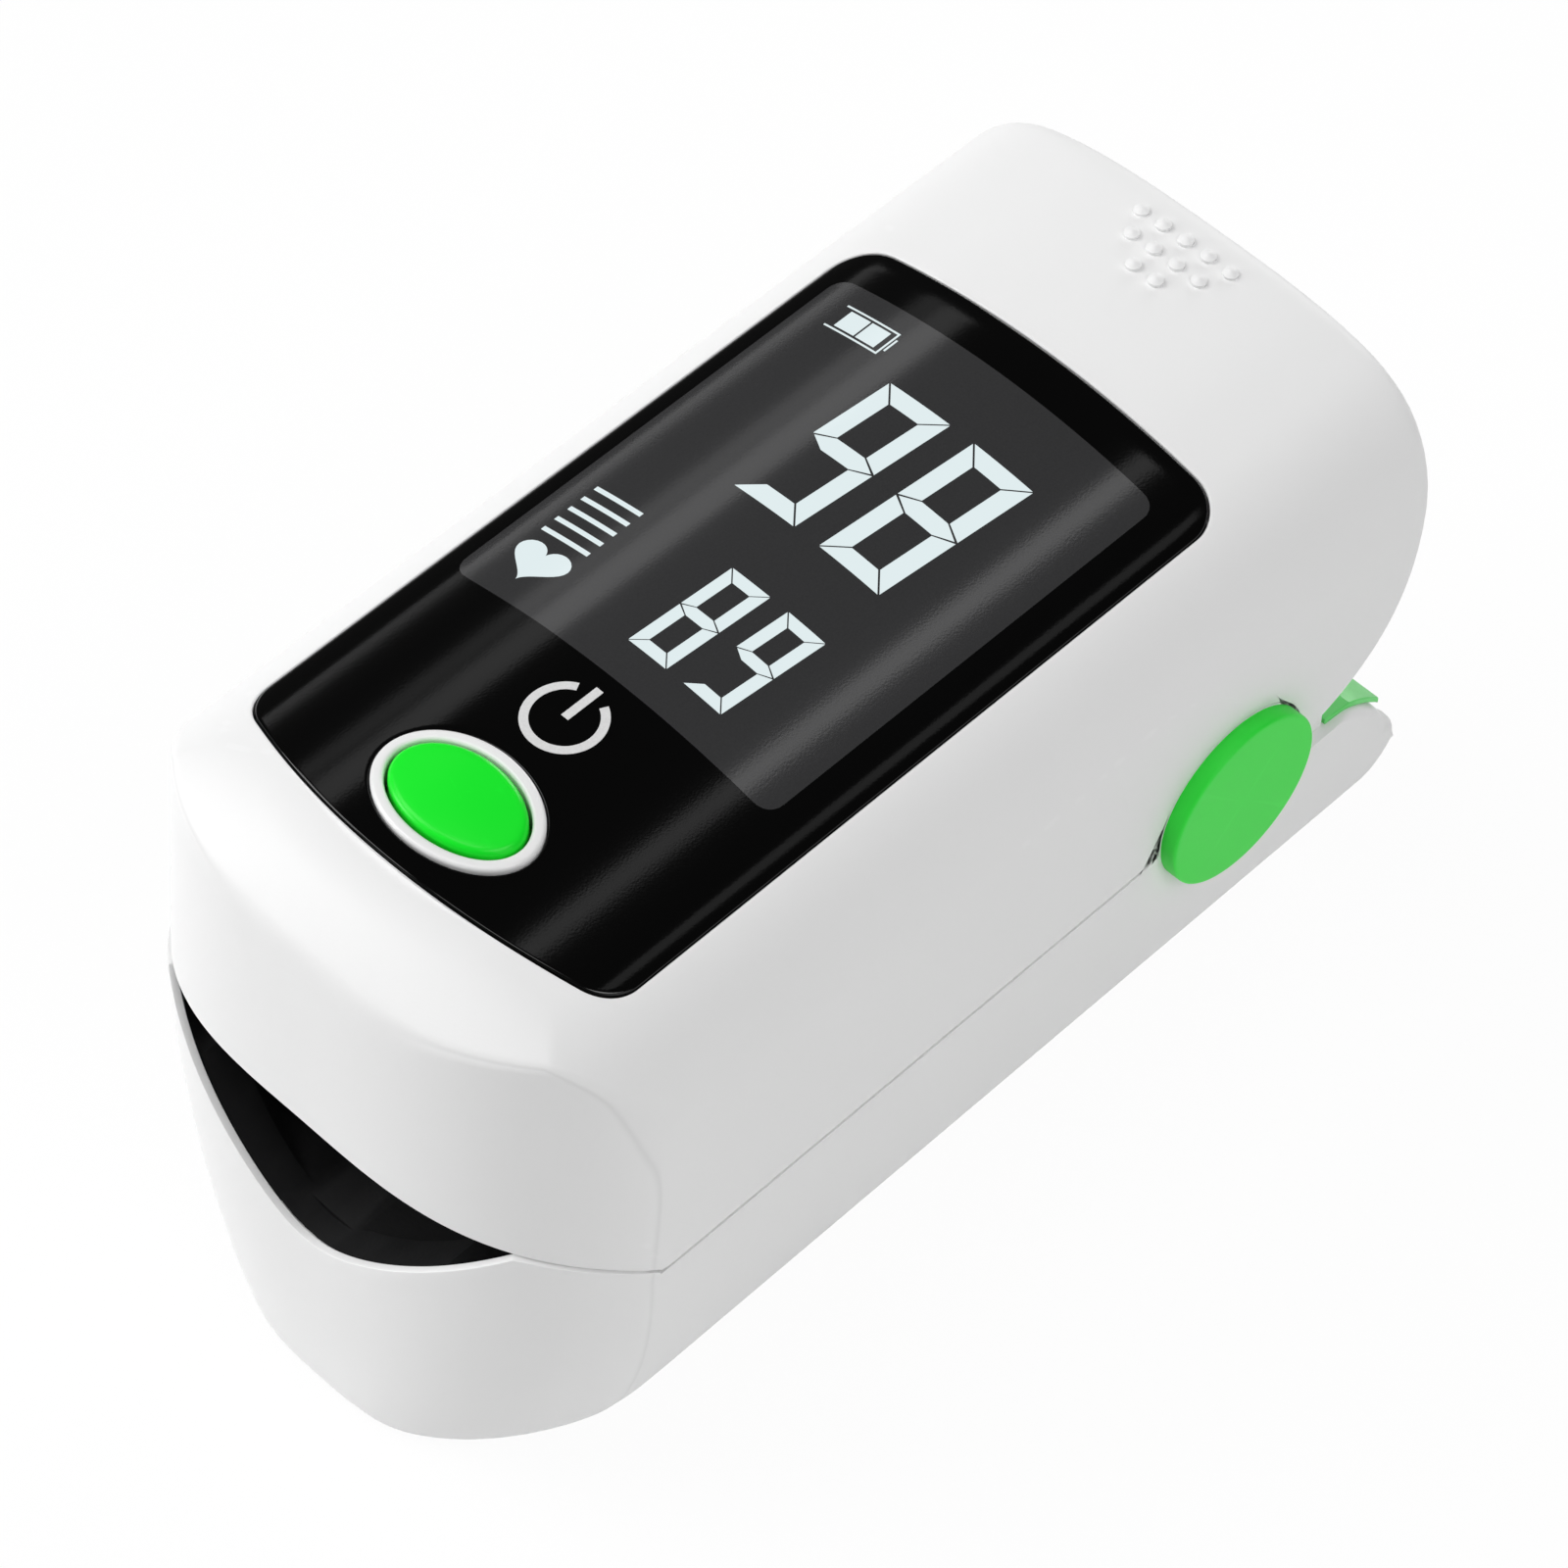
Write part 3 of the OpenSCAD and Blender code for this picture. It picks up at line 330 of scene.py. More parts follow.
# %% Grids to meshes
def band(rows, cols, wrap=True, loop=False):
    """Quads between neighbouring rows and columns; wrap joins the last column to the first,
    and loop the last row to the first."""
    r, c = np.meshgrid(np.arange(rows if loop else rows - 1),
                       np.arange(cols if wrap else cols - 1), indexing="ij")
    r, c = r.ravel() * cols, c.ravel()
    r2, c2 = (r + cols) % (rows * cols), (c + 1) % cols
    return np.stack([r + c, r + c2, r2 + c2, r2 + c], 1).tolist()


def ring_body(grid):
    """A closed ring: rows go round the section, columns round the hole."""
    rows, cols = grid.shape[:2]
    return grid.reshape(-1, 3), band(rows, cols, loop=True)


def capped_body(grid):
    """A closed body of rings, whose first and last rings are filled by a fan to their middle."""
    rows, cols = grid.shape[:2]
    points = np.concatenate([grid.reshape(-1, 3), grid[:1].mean(1), grid[-1:].mean(1)])
    k = np.arange(cols)
    over, last, tip = np.roll(k, -1), (rows - 1) * cols, np.full(cols, rows * cols)
    fans = [np.stack([tip, over, k], 1), np.stack([tip + 1, last + k, last + over], 1)]
    return points, band(rows, cols) + np.concatenate(fans).tolist()


def slab_body(top, bottom):
    """A closed slab of two grids of equal shape, joined round their border."""
    rows, cols = top.shape[:2]
    index, n = np.arange(rows * cols).reshape(rows, cols), rows * cols
    rim = np.concatenate([index[0], index[1:, -1], index[-1, -2::-1], index[-2:0:-1, 0]])
    over, face = np.roll(rim, -1), band(rows, cols, wrap=False)
    sides = np.stack([rim, rim + n, over + n, over], 1).tolist()
    under = (np.array(face) + n)[:, ::-1].tolist()
    return np.concatenate([top.reshape(-1, 3), bottom.reshape(-1, 3)]), face + sides + under


def outward(points, faces):
    """The faces turned over if the volume they enclose, summed over a fan of triangles per
    face, comes out negative."""
    quads = np.array([f if len(f) == 4 else f + f[-1:] for f in faces])
    a, b, c, d = (points[quads[:, i]] for i in range(4))
    volume = (a * np.cross(b, c)).sum() + (a * np.cross(c, d)).sum()
    return [f[::-1] for f in faces] if volume < 0 else faces


print("faces of a closed ring of 4 by 5 points:", len(band(4, 5, loop=True)))

# %% Meshes to pieces
def finish_piece(name, mesh, body, slot, nodes=(), material=None, sharp=40):
    """The mesh as an object, smooth but for edges that turn by more than sharp degrees. It
    rides on a CAD body, takes a slot of the record with its finish, and may stand for nodes."""
    mesh.shade_smooth()
    mesh.set_sharp_from_angle(angle=np.radians(sharp))
    mesh.materials.clear()
    mesh.materials.append(material or FINISHES[slot])
    piece = add_object(name, mesh)
    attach(piece, body)
    if nodes:
        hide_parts(*nodes)
    print(f"{name}: {len(mesh.loops) - 2 * len(mesh.polygons)} triangles")
    return piece


def make_piece(name, bodies, body, slot, nodes=(), **finish):
    """One piece from closed bodies of points and faces, in millimetres."""
    points, faces, start = [], [], 0
    for p, f in bodies:
        faces += [[i + start for i in face] for face in outward(p, f)]
        points.append(p)
        start += len(p)
    mesh = bpy.data.meshes.new(name)
    mesh.from_pydata((np.concatenate(points) * MM).tolist(), [], faces)
    return finish_piece(name, mesh, body, slot, nodes, **finish)


def mark_crease(piece):
    """Writes crease_place of every vertex into the piece's crease attribute."""
    mesh = piece.data
    spots = np.empty(3 * len(mesh.vertices))
    mesh.vertices.foreach_get("co", spots)
    layer = mesh.attributes.new("crease", "FLOAT_VECTOR", "POINT")
    layer.data.foreach_set("vector", crease_place(spots.reshape(-1, 3) / MM).ravel())

# %% [markdown]
# ## Finishes
# Moulded plastic is never one flat colour: its gloss wavers, its pigment is a little uneven, it
# has a fine grain, and its sharp edges are lighter, partly as wear and partly as a painted
# highlight. One node group makes these four effects from Object coordinates and the mesh's
# pointiness, and every plastic uses it with its own values.

# %% Helpers for node trees
def srgb(r, g, b):
    """A display colour of 0 to 255 as linear light: c / 12.92 where it is dark, and else
    ((c + 0.055) / 1.055) to the power 2.4."""
    c = np.array([r, g, b]) / 255
    return tuple(np.where(c < 0.04045, c / 12.92, ((c + 0.055) / 1.055) ** 2.4).tolist())


def set_values(node, values):
    """Sets a node's properties and inputs: Grain_Scale is the input Grain Scale, _1 is input 1."""
    for name, value in values.items():
        if hasattr(node, name):
            setattr(node, name, value)
        else:
            key = name.replace("_", " ").strip()
            node.inputs[int(key) if key.isdigit() else key].default_value = value


def add(tree, name, kind, **values):
    """A shader node with a name that wire() can use."""
    node = tree.nodes.new("ShaderNode" + kind)
    node.name = name
    set_values(node, values)


def wire(tree, plan):
    """Links from words: each "node.output node.input" pair, with a socket's name or number."""
    def socket(end, side):
        """The socket that "node.socket" names, among a node's inputs or outputs."""
        name, key = end.replace("_", " ").split(".")
        return getattr(tree.nodes[name], side)[int(key) if key.isdigit() else key]
    for pair in plan.split(","):
        start, end = pair.split()
        tree.links.new(socket(start, "outputs"), socket(end, "inputs"))


def new_material(name):
    """A node material, with the Principled shader that it starts with named surface."""
    material = bpy.data.materials.new(name)
    material.use_nodes = True
    material.node_tree.nodes["Principled BSDF"].name = "surface"
    return material, material.node_tree


print("mid grey as linear light:", round(srgb(128, 128, 128)[0], 3))

# %% The moulded-surface group
def moulded_group():
    """Colour mottled by a broad noise and lightened on sharp edges, as wear and as a painted
    highlight, roughness that wavers with it, and a normal from a fine noise."""
    g = bpy.data.node_groups.new("moulded surface", "ShaderNodeTree")
    for side, labels in [
            ("INPUT", ["Color", "Roughness", "Mottle", "Grain", "Grain Scale", "Edge"]),
            ("OUTPUT", ["Color", "Roughness", "Normal"])]:
        for label in labels:
            kind = {"Color": "Color", "Normal": "Vector"}.get(label, "Float")
            g.interface.new_socket(name=label, in_out=side, socket_type="NodeSocket" + kind)
    g.nodes.new("NodeGroupInput").name = "in"
    g.nodes.new("NodeGroupOutput").name = "out"
    add(g, "place", "TexCoord")
    add(g, "broad", "TexNoise", Scale=140.0, Detail=3.0, Roughness=0.6)
    add(g, "fine", "TexNoise", Detail=2.0, Roughness=0.55)
    add(g, "swing", "Math", operation="SUBTRACT", _1=0.5)
    add(g, "amount", "Math", operation="MULTIPLY")
    add(g, "tone", "Math", operation="ADD", _1=1.0)
    add(g, "shade", "Mix", data_type="RGBA", blend_type="MULTIPLY", _0=1.0)
    add(g, "gloss", "Math", operation="MULTIPLY_ADD", _1=0.12)
    add(g, "bump", "Bump", Distance=0.00004)
    # Pointiness lightens the colour on sharp edges: partly wear, partly a painted highlight.
    add(g, "worn", "NewGeometry")
    add(g, "rim", "MapRange", interpolation_type="SMOOTHSTEP", From_Min=0.53, From_Max=0.66)
    add(g, "rub", "Math", operation="MULTIPLY")
    add(g, "lighter", "Mix", data_type="RGBA", blend_type="SCREEN")
    wire(g, """place.Object broad.Vector, place.Object fine.Vector, in.Grain_Scale fine.Scale,
        broad.0 swing.0, swing.0 amount.0, in.Mottle amount.1, amount.0 tone.0,
        in.Color shade.6, tone.0 shade.7, swing.0 gloss.0, in.Roughness gloss.2,
        fine.0 bump.Height, in.Grain bump.Strength, worn.Pointiness rim.Value,
        rim.Result rub.0, in.Edge rub.1, rub.0 lighter.0, shade.2 lighter.6,
        shade.2 lighter.7, lighter.2 out.Color, gloss.0 out.Roughness, bump.0 out.Normal""")
    return g


MOULDED = moulded_group()


# edge sets how much sharp edges are lightened in colour: wear and a painted highlight.
def moulded(name, colour, roughness, mottle=0.03, grain=0.15, scale=6000.0, edge=0.1, **shader):
    """A material: the moulded-surface group feeds a Principled shader, whose own sockets take
    the numbers that are the same all over."""
    material, tree = new_material(name)
    add(tree, "moulded", "Group", node_tree=MOULDED, Color=(*colour, 1), Roughness=roughness,
        Mottle=mottle, Grain=grain, Grain_Scale=scale, Edge=edge)
    wire(tree, """moulded.Color surface.Base_Color, moulded.Roughness surface.Roughness,
        moulded.Normal surface.Normal""")
    set_values(tree.nodes["surface"], shader)
    return material


print("sockets of the group:", [s.name for s in MOULDED.interface.items_tree])

# %% The line where the nose begins
LINE_W, LINE_DEPTH = 0.09, 0.00003


def add_crease_line_and_shade(material):
    """Adds a mould's fine line: share * exp(-(place / 0.09)^2) of the piece's crease attribute
    darkens the colour a little, as painted shade of the groove, and sinks the surface. A piece
    without it gets no line."""
    tree = material.node_tree
    add(tree, "crease", "Attribute", attribute_name="crease")
    add(tree, "parts", "SeparateXYZ")
    add(tree, "scaled", "Math", operation="DIVIDE", _1=LINE_W)
    add(tree, "square", "Math", operation="MULTIPLY")
    add(tree, "bell", "Math", operation="POWER", _0=1 / np.e)
    add(tree, "line", "Math", operation="MULTIPLY")
    # Painted shade: the colour is darkened along the line where the groove's shade would fall.
    add(tree, "dark", "Mix", data_type="RGBA", blend_type="MULTIPLY", _7=(0.93, 0.93, 0.93, 1))
    add(tree, "dip", "Bump", Distance=LINE_DEPTH, Strength=0.5, invert=True)
    wire(tree, """crease.Vector parts.0, parts.X scaled.0, scaled.0 square.0, scaled.0 square.1,
        square.0 bell.1, bell.0 line.0, parts.Y line.1, line.0 dark.0, moulded.Color dark.6,
        dark.2 surface.Base_Color, line.0 dip.Height, moulded.Normal dip.Normal,
        dip.0 surface.Normal""")
    return material


print("half-width and depth of the line in mm:", LINE_W, round(LINE_DEPTH / MM, 3))

# %% [markdown]
# ## Glossy lens
# The lens is smooth black acrylic with a dark grey window and lit figures under it. They are
# separate thin skins that share its gloss, so a reflection runs on across them unbroken. Its
# mould lines are a noise stretched along the body, which wavers the gloss in soft streaks.

# %% Polished acrylic
def acrylic(name, colour, streak=0.06, **shader):
    """A noise drawn out along X swings the roughness by half of streak about 0.09, and a fine
    dust lightens the colour by up to a quarter."""
    material, tree = new_material(name)
    add(tree, "place", "TexCoord")
    add(tree, "stretch", "Mapping", Scale=(0.06, 1.0, 1.0))
    add(tree, "flow", "TexNoise", Scale=420.0, Detail=4.0, Roughness=0.6)
    add(tree, "dust", "TexNoise", Scale=9000.0, Detail=1.0)
    add(tree, "gloss", "MapRange", To_Min=0.09 - streak / 2, To_Max=0.09 + streak / 2)
    add(tree, "tone", "Mix", data_type="RGBA", _6=(*colour, 1),
        _7=(*(1.25 * c for c in colour), 1))
    add(tree, "bump", "Bump", Strength=0.04, Distance=0.00003)
    wire(tree, """place.Object stretch.Vector, stretch.0 flow.Vector, place.Object dust.Vector,
        flow.0 gloss.Value, gloss.Result surface.Roughness, dust.0 tone.0,
        tone.2 surface.Base_Color, dust.0 bump.Height, bump.0 surface.Normal""")
    set_values(tree.nodes["surface"], shader)
    return material


window_grey = acrylic("window grey", (0.029, 0.029, 0.03), Specular_IOR_Level=0.8)
print_white = acrylic("printed white", (0.62, 0.62, 0.62), streak=0.02)
figures_lit = acrylic("lit figures", (0.02, 0.02, 0.02), streak=0.02, Emission_Strength=0.92,
                      Emission_Color=(*srgb(230, 243, 245), 1))
print("lens finishes:", [m.name for m in (window_grey, print_white, figures_lit)])

# %% [markdown]
# ## A finish for every slot
# The record gives each CAD node a slot, such as the shell or the contacts. Here each slot gets
# its finish once: the plastics, silicone, boards and metals are the moulded surface with other
# values, and every CAD node that stays takes the finish of its slot.

# %% Finishes
FINISHES = {
    # The shell's crease line is darkened in colour as painted shade and sunk by a bump.
    "shell": add_crease_line_and_shade(moulded("shell white", (0.84, 0.84, 0.84), 0.5, 0.012, 0.1,
                                     edge=0.12, Specular_IOR_Level=0.4)),
    "ring_white": moulded("ring white", (0.82, 0.82, 0.82), 0.3, 0.01, 0.05),
    "button_green": moulded("button green", srgb(24, 230, 44), 0.3, 0.03, 0.06,
                            Specular_IOR_Level=0.2),
    "cap_green": moulded("cap green", srgb(52, 227, 66), 0.42, 0.03, 0.1,
                         Specular_IOR_Level=0.2),
    "frame_green": moulded("frame green", srgb(100, 222, 110), 0.4, 0.04, 0.12),
    "pad_black": moulded("pad black", (0.008, 0.008, 0.0085), 0.7, 0.15, 0.35, 4000.0, 0.2,
                         Specular_IOR_Level=0.15),
    "board_green": moulded("board green", srgb(22, 92, 48), 0.42, 0.2, 0.3, 2500.0),
    "chip_black": moulded("chip black", (0.02, 0.02, 0.022), 0.55, 0.1, 0.4, 9000.0),
    "parts_tan": moulded("parts tan", srgb(176, 142, 104), 0.5, 0.25, 0.2),
    "connector": moulded("socket cream", srgb(228, 222, 204), 0.45, 0.04),
    "plunger": moulded("plunger grey", srgb(90, 92, 95), 0.45),
    "led": moulded("lamp white", (0.8, 0.8, 0.76), 0.25, Coat_Weight=0.5),
    "diode": moulded("diode dark", (0.03, 0.03, 0.04), 0.2, Coat_Weight=0.6),
    "window_red": moulded("window red", srgb(120, 14, 18), 0.12, 0.05, 0.02, Coat_Weight=0.8),
    "display": moulded("display dark", (0.02, 0.02, 0.022), 0.15, 0.05, 0.02),
    "steel": moulded("steel", (0.56, 0.57, 0.58), 0.32, 0.08, 0.3, 8000.0, Metallic=1.0),
    "contact": moulded("contact plate", (0.66, 0.65, 0.6), 0.28, 0.06, 0.2, Metallic=1.0),
    "cell_can": moulded("cell can", (0.6, 0.61, 0.63), 0.3, 0.05, 0.15, Metallic=1.0),
    "flex": moulded("flex amber", srgb(176, 98, 30), 0.35, 0.1, 0.1),
    "lens_black": acrylic("lens black", (0.001, 0.001, 0.001), Specular_IOR_Level=0.35)}
FINISHES["cover"], FINISHES["switch_steel"] = FINISHES["shell"], FINISHES["steel"]
for part in frame["record"]["subparts"]:
    for slot in frame["nodes"][part["node"]].material_slots:
        slot.material = FINISHES[part["material_slot"]]

# %% [markdown]
# ## Lower shell
# The real one is a thin white tub. Its wall starts at the opening for the battery cover, runs
# over the belly to the parting line, dips in a V at the finger opening, rises over the hinge in
# a round lobe, and ends behind in the curved edge of the tail. Two closed curves say all that,
# and the sheet between them is the wall.

# %% Curves by pieces
def blend_points(*pieces):
    """One closed curve from pieces, each without its last point."""
    return np.concatenate([np.asarray(piece)[:-1] for piece in pieces])


def even(points, n):
    """n points at equal steps of length along a line of points."""
    run = np.concatenate([[0], np.cumsum(np.linalg.norm(np.diff(points, axis=0), axis=1))])
    at = np.linspace(0, run[-1], n)
    return np.stack([np.interp(at, run, points[:, i]) for i in range(points.shape[1])], 1)


def mirrored(points):
    """The same points on the other side, in the opposite order."""
    return points[::-1] * [1, -1, 1]


def arc_line(cx, cz, r, a0, a1, n):
    """Points on a circle in the plane of the side, from angle a0 to a1 in degrees."""
    a = np.radians(np.linspace(a0, a1, n))
    return xyz(cx + r * np.cos(a), HALF_W, cz + r * np.sin(a))


def line(a, b, n):
    """n points at equal steps on a straight line, both ends among them."""
    return np.linspace(np.array(a, float), np.array(b, float), n)


def tail_edge(x):
    """Top edge of the tail: a parabola from the height 16.1 at x = 24 down to 9 at the end."""
    share = (x - TAIL_START) / (TAIL_X - TAIL_START)
    return xyz(x, HALF_W, TAIL_Z - TAIL_DROP * share ** 2)


ARCH_H, LIP_Z, LIP_SLOPE, LIP_R = 4.2, 12.4, 0.85, 2.6


def arch_at(y):
    """Upper lip: half an ellipse, 4.2 high, over the parting line."""
    return SEAM_Z + ARCH_H * np.sqrt(np.maximum(1 - (y / HALF_W) ** 2, 0))


def lip_at(y):
    """Lower lip: a hyperbola, which is a V with a round bottom."""
    return LIP_Z + LIP_SLOPE * (np.sqrt(y * y + LIP_R ** 2) - LIP_R)


N_FRONT, N_REAR = 121, 61
y_front = HALF_W * np.sin(np.linspace(-np.pi / 2, np.pi / 2, N_FRONT))
u_front = np.abs(y_front) / HALF_W
x_front = CREASE_X - NOSE_L * np.maximum(1 - u_front ** 3, 0) ** NOSE_P
print("nose from above in mm:", x_front.min().round(2), "to", x_front.max().round(2))

# %% Edge of the lower shell
SEAM_HALF, LIP_GAP, W_TAIL = 0.0015, 0.07, 14.8
z_front = np.minimum(lip_at(y_front), arch_at(y_front) - LIP_GAP)
rim_front = xyz(x_front, y_front, z_front)
low_z = SEAM_Z - SEAM_HALF
lobe_a = np.degrees(np.arcsin((low_z - HINGE_Z) / LOBE_R))
lobe_b = np.degrees(np.arcsin((TAIL_Z - HINGE_Z) / LOBE_R))
lobe = arc_line(HINGE_X, HINGE_Z, LOBE_R, 180 - lobe_a, lobe_b, 60)
shelf = [(x, HALF_W, TAIL_Z) for x in (TAIL_START - 0.5, TAIL_START)]
side = np.concatenate([
    line((CREASE_X, HALF_W, low_z), lobe[0], 80)[:-1], lobe[:-1],
    line(lobe[-1], shelf[0], 12)[:-1], line(*shelf, 6)[:-1],
    tail_edge(np.linspace(TAIL_START, TAIL_X - TAIL_R, 16))])
turn = np.linspace(0, np.pi / 2, 12)
corner = tail_edge(TAIL_X + TAIL_R * (np.sin(turn) - 1))
corner[:, 1] = W_TAIL + TAIL_R * (np.cos(turn) - 1)
side = np.concatenate([side[:-1], corner[:7]])
lobe_start, lobe_end = 79, 139
side = np.concatenate([even(side[:lobe_start + 1], 62)[:-1], side[lobe_start:lobe_end + 1],
                       even(side[lobe_end:], 60)[1:]])
rear = np.concatenate([corner[6:], line(corner[-1], corner[-1] * [1, -1, 1], 60)[1:-1],
                       mirrored(corner[6:])])
low_rim = blend_points(rim_front, side, even(rear, N_REAR), mirrored(side))
print("points on the lower rim:", len(low_rim))

# %% Opening for the battery cover
PIVOT_X, PIVOT_Z, SLOT_HALF, SLOT_X, SLOT_Z = 20.0, 9.0, 11.05, -19.15, 7.5
COVER_GAP, COVER_T = 0.15, 1.15


def belly_grid(across, down, turn):
    """Belly points over lines at each y: rays straight down from the height 9 at each x, and
    at x = 20 rays that turn backwards round the stern by the angles of turn."""
    x = np.append(down, 0 * turn + PIVOT_X)
    aim = xyz(np.append(0 * down, np.cos(turn)), 0, np.append(0 * down - 1, np.sin(turn)))
    foot = xyz(x, across[:, None], PIVOT_Z)
    return cross_surface(lower_distance, foot, np.broadcast_to(aim, foot.shape))


def stern_angle(z):
    """The angle of the ray that meets the tail at the height z."""
    return np.arctan2(z - PIVOT_Z, TAIL_X - PIVOT_X)


opening = belly_grid(np.linspace(-SLOT_HALF, SLOT_HALF, 41), np.linspace(SLOT_X, PIVOT_X, 90),
                     np.linspace(-np.pi / 2, stern_angle(SLOT_Z), 60)[1:])
hole = blend_points(even(opening[:, 0], N_FRONT), even(opening[-1], len(side)),
                    even(opening[::-1, -1], N_REAR), even(opening[0, ::-1], len(side)))
print("opening in mm:", hole.min(0).round(2), hole.max(0).round(2))

# %% Wall of the lower shell
LIP_WALL, LIP_HALF, LIP_FOOT, LIP_DEPTH = 0.4, 11.5, 11.6, 3.5
TAIL_RIM_R, RIM_R, SEAM_R, LOW_MIDDLE = 0.55, 0.04, 0.004, (-16, 18, 9.5)


def middle_line(rim, x0, x1, z):
    """For each point of a rim, the start of its ray: on a line through the body's middle."""
    return xyz(np.clip(rim[:, 0], x0, x1), 0, z)


def wall_edge(field, start, curve, other):
    """A curve brought onto a body by rays: its points, the outward directions there, and the
    directions in the surface that lead away from the other curve."""
    edge = cross_surface(field, start, unit(curve - start))
    out = normals(field, edge)
    return edge, out, along(edge, out, edge - other)


def lower_inside(p):
    """Inner face: 1.5 mm in, but only 0.4 mm in behind the lip, where the pad's edge sits."""
    foot = np.maximum(lip_at(p[..., 1]) - LIP_DEPTH, LIP_FOOT)
    high, front = np.clip(np.stack([p[..., 2] - foot, CREASE_X - p[..., 0]]) / 0.1, 0, 1)
    return lower_distance(p, WALL - (WALL - LIP_WALL) * high * front, FLOOR)


def lower_wall(rim, hole, r_rim, r_hole=0.15):
    """A closed wall between two curves: outer sheet, rounded end at the rim, inner sheet back,
    and rounded end at the hole."""
    start = middle_line(rim, *LOW_MIDDLE)
    edge_a, out_a, off_a = wall_edge(lower_distance, start, hole, rim)
    edge_b, out_b, off_b = wall_edge(lower_distance, start, rim, hole)
    outer = sheet(lower_distance, start, edge_a - r_hole * off_a, edge_b - r_rim * off_b, 60)
    lipped = (rim[:, 0] < CREASE_X) & (np.abs(rim[:, 1]) < LIP_HALF)
    end_b = wall_end(edge_b, out_b, off_b, np.where(lipped, LIP_WALL, WALL), r_rim)
    end_a = wall_end(edge_a, out_a, off_a, FLOOR, r_hole)[::-1]
    back = sheet(lower_inside, start, end_b[-1], end_a[0], 14, bunch=1.0)
    return np.concatenate([outer, end_b[1:-1], back, end_a[1:-1]])


r_low = np.where(low_rim[:, :1] < CREASE_X, RIM_R, SEAM_R)
r_low = np.maximum(r_low, TAIL_RIM_R * np.clip((low_rim[:, :1] - TAIL_START + 0.5) / 3, 0, 1))
low_wall = lower_wall(low_rim, hole, r_low)
print("lower shell in mm:", np.ptp(low_wall.reshape(-1, 3), axis=0).round(2))

# %% Tongue behind the hinge
# The upper shell laps over a thin tongue of the lower one here, so that no light shows through.
def tongue(side_sign):
    """A small wall, 0.9 thick, on the inside of the lower shell behind the hinge."""
    y, z = np.array([[13.95, 15.0], [13.95, 17.95], [14.05, 18.08], [14.72, 18.08],
                     [14.83, 17.95], [14.83, 15.0]]).T
    return capped_body(xyz(np.linspace(16.2, 23.15, 24)[:, None], side_sign * y, z))


mark_crease(make_piece("lower_shell_skin", [ring_body(low_wall), tongue(1), tongue(-1)],
                       "base", "shell", ["lower_shell"]))

# %% [markdown]
# ## Battery cover
# The cover slides in the belly, so its outside is the same surface, cut 0.15 mm smaller all
# round. Near its border the grid sinks by a quarter circle, which rounds the edge, and a few
# shallow waves across it give the thumb a grip.

# %% Battery cover
def edge_sink(distance, r):
    """How far a surface sinks at a distance from its border: r - sqrt(r^2 - (r - distance)^2)."""
    near = np.clip(r - distance, 0, r)
    return r - np.sqrt(np.maximum(r * r - near * near, 0))


def border_distance(grid):
    """Distance from the nearest border of a grid, from the lengths along its rows and columns."""
    def one(axis):
        """Distance from the nearer end of each line of the grid along an axis."""
        step = np.linalg.norm(np.diff(grid, axis=axis), axis=-1)
        zero = np.zeros_like(np.take(step, [0], axis))
        run = np.concatenate([zero, np.cumsum(step, axis)], axis)
        return np.minimum(run, np.take(run, [-1], axis) - run)
    return np.minimum(one(0), one(1))


def cover_grid():
    """Belly points across and along, with extra lines near the border: at shares of its last
    0.3 mm, and at the stern of its last 0.034 radians."""
    near = np.array([0, 0.02, 0.1, 0.25, 0.45, 0.7, 1.0])
    edge = -1 + 0.03 * near
    across = np.concatenate([edge, np.linspace(-0.97, 0.97, 37)[1:-1], -edge[::-1]])
    across, x = (SLOT_HALF - COVER_GAP) * across, SLOT_X + COVER_GAP
    down = np.concatenate([x + 0.3 * near[:-1], np.linspace(x + 0.3, 9, 50),
                           np.linspace(9, PIVOT_X, 90)[1:]])
    stop, last = stern_angle(SLOT_Z - COVER_GAP), 0.034
    turn = np.concatenate([np.linspace(-np.pi / 2, stop - last, 40)[1:-1],
                           stop - last * near[::-1]])
    return belly_grid(across, down, turn)


def grip_grooves(x, y):
    """Waves 2 mm apart and 0.34 mm deep, (0.5 + 1.2 cos) held between 0 and 1, that fade in and
    out along the cover and beyond 5 mm from its middle."""
    fade = np.clip((x - 9.6) * 4, 0, 1) * np.clip((18.4 - x) * 4, 0, 1)
    fade = fade / (1 + np.exp((np.abs(y) - 5) * 6))
    return 0.34 * fade * np.clip(0.5 + 1.2 * np.cos(np.pi * (x - 10.5)), 0, 1)


cover_top = cover_grid()
cover_out = normals(lower_distance, cover_top)
sink = edge_sink(border_distance(cover_top), 0.2) + grip_grooves(*cover_top.T[:2]).T
cover = slab_body(cover_top - cover_out * sink[..., None], cover_top - cover_out * COVER_T)
make_piece("battery_cover_skin", [cover], "cover", "cover", ["battery_cover"])

# %% [markdown]
# ## Upper shell
# The upper half is one moulding with a shallow pocket for the lens. Its wall runs from the
# pocket's edge over the crown, over a small radius where the leaning nose begins, and down to
# the parting line, which arches over the finger and leaves a round notch for the hinge.

# %% Lens outline
LENS_X0, LENS_X1, LENS_W, LENS_C, LENS_BOW = -23.8, 18.0, 11.75, 2.2, 2.34


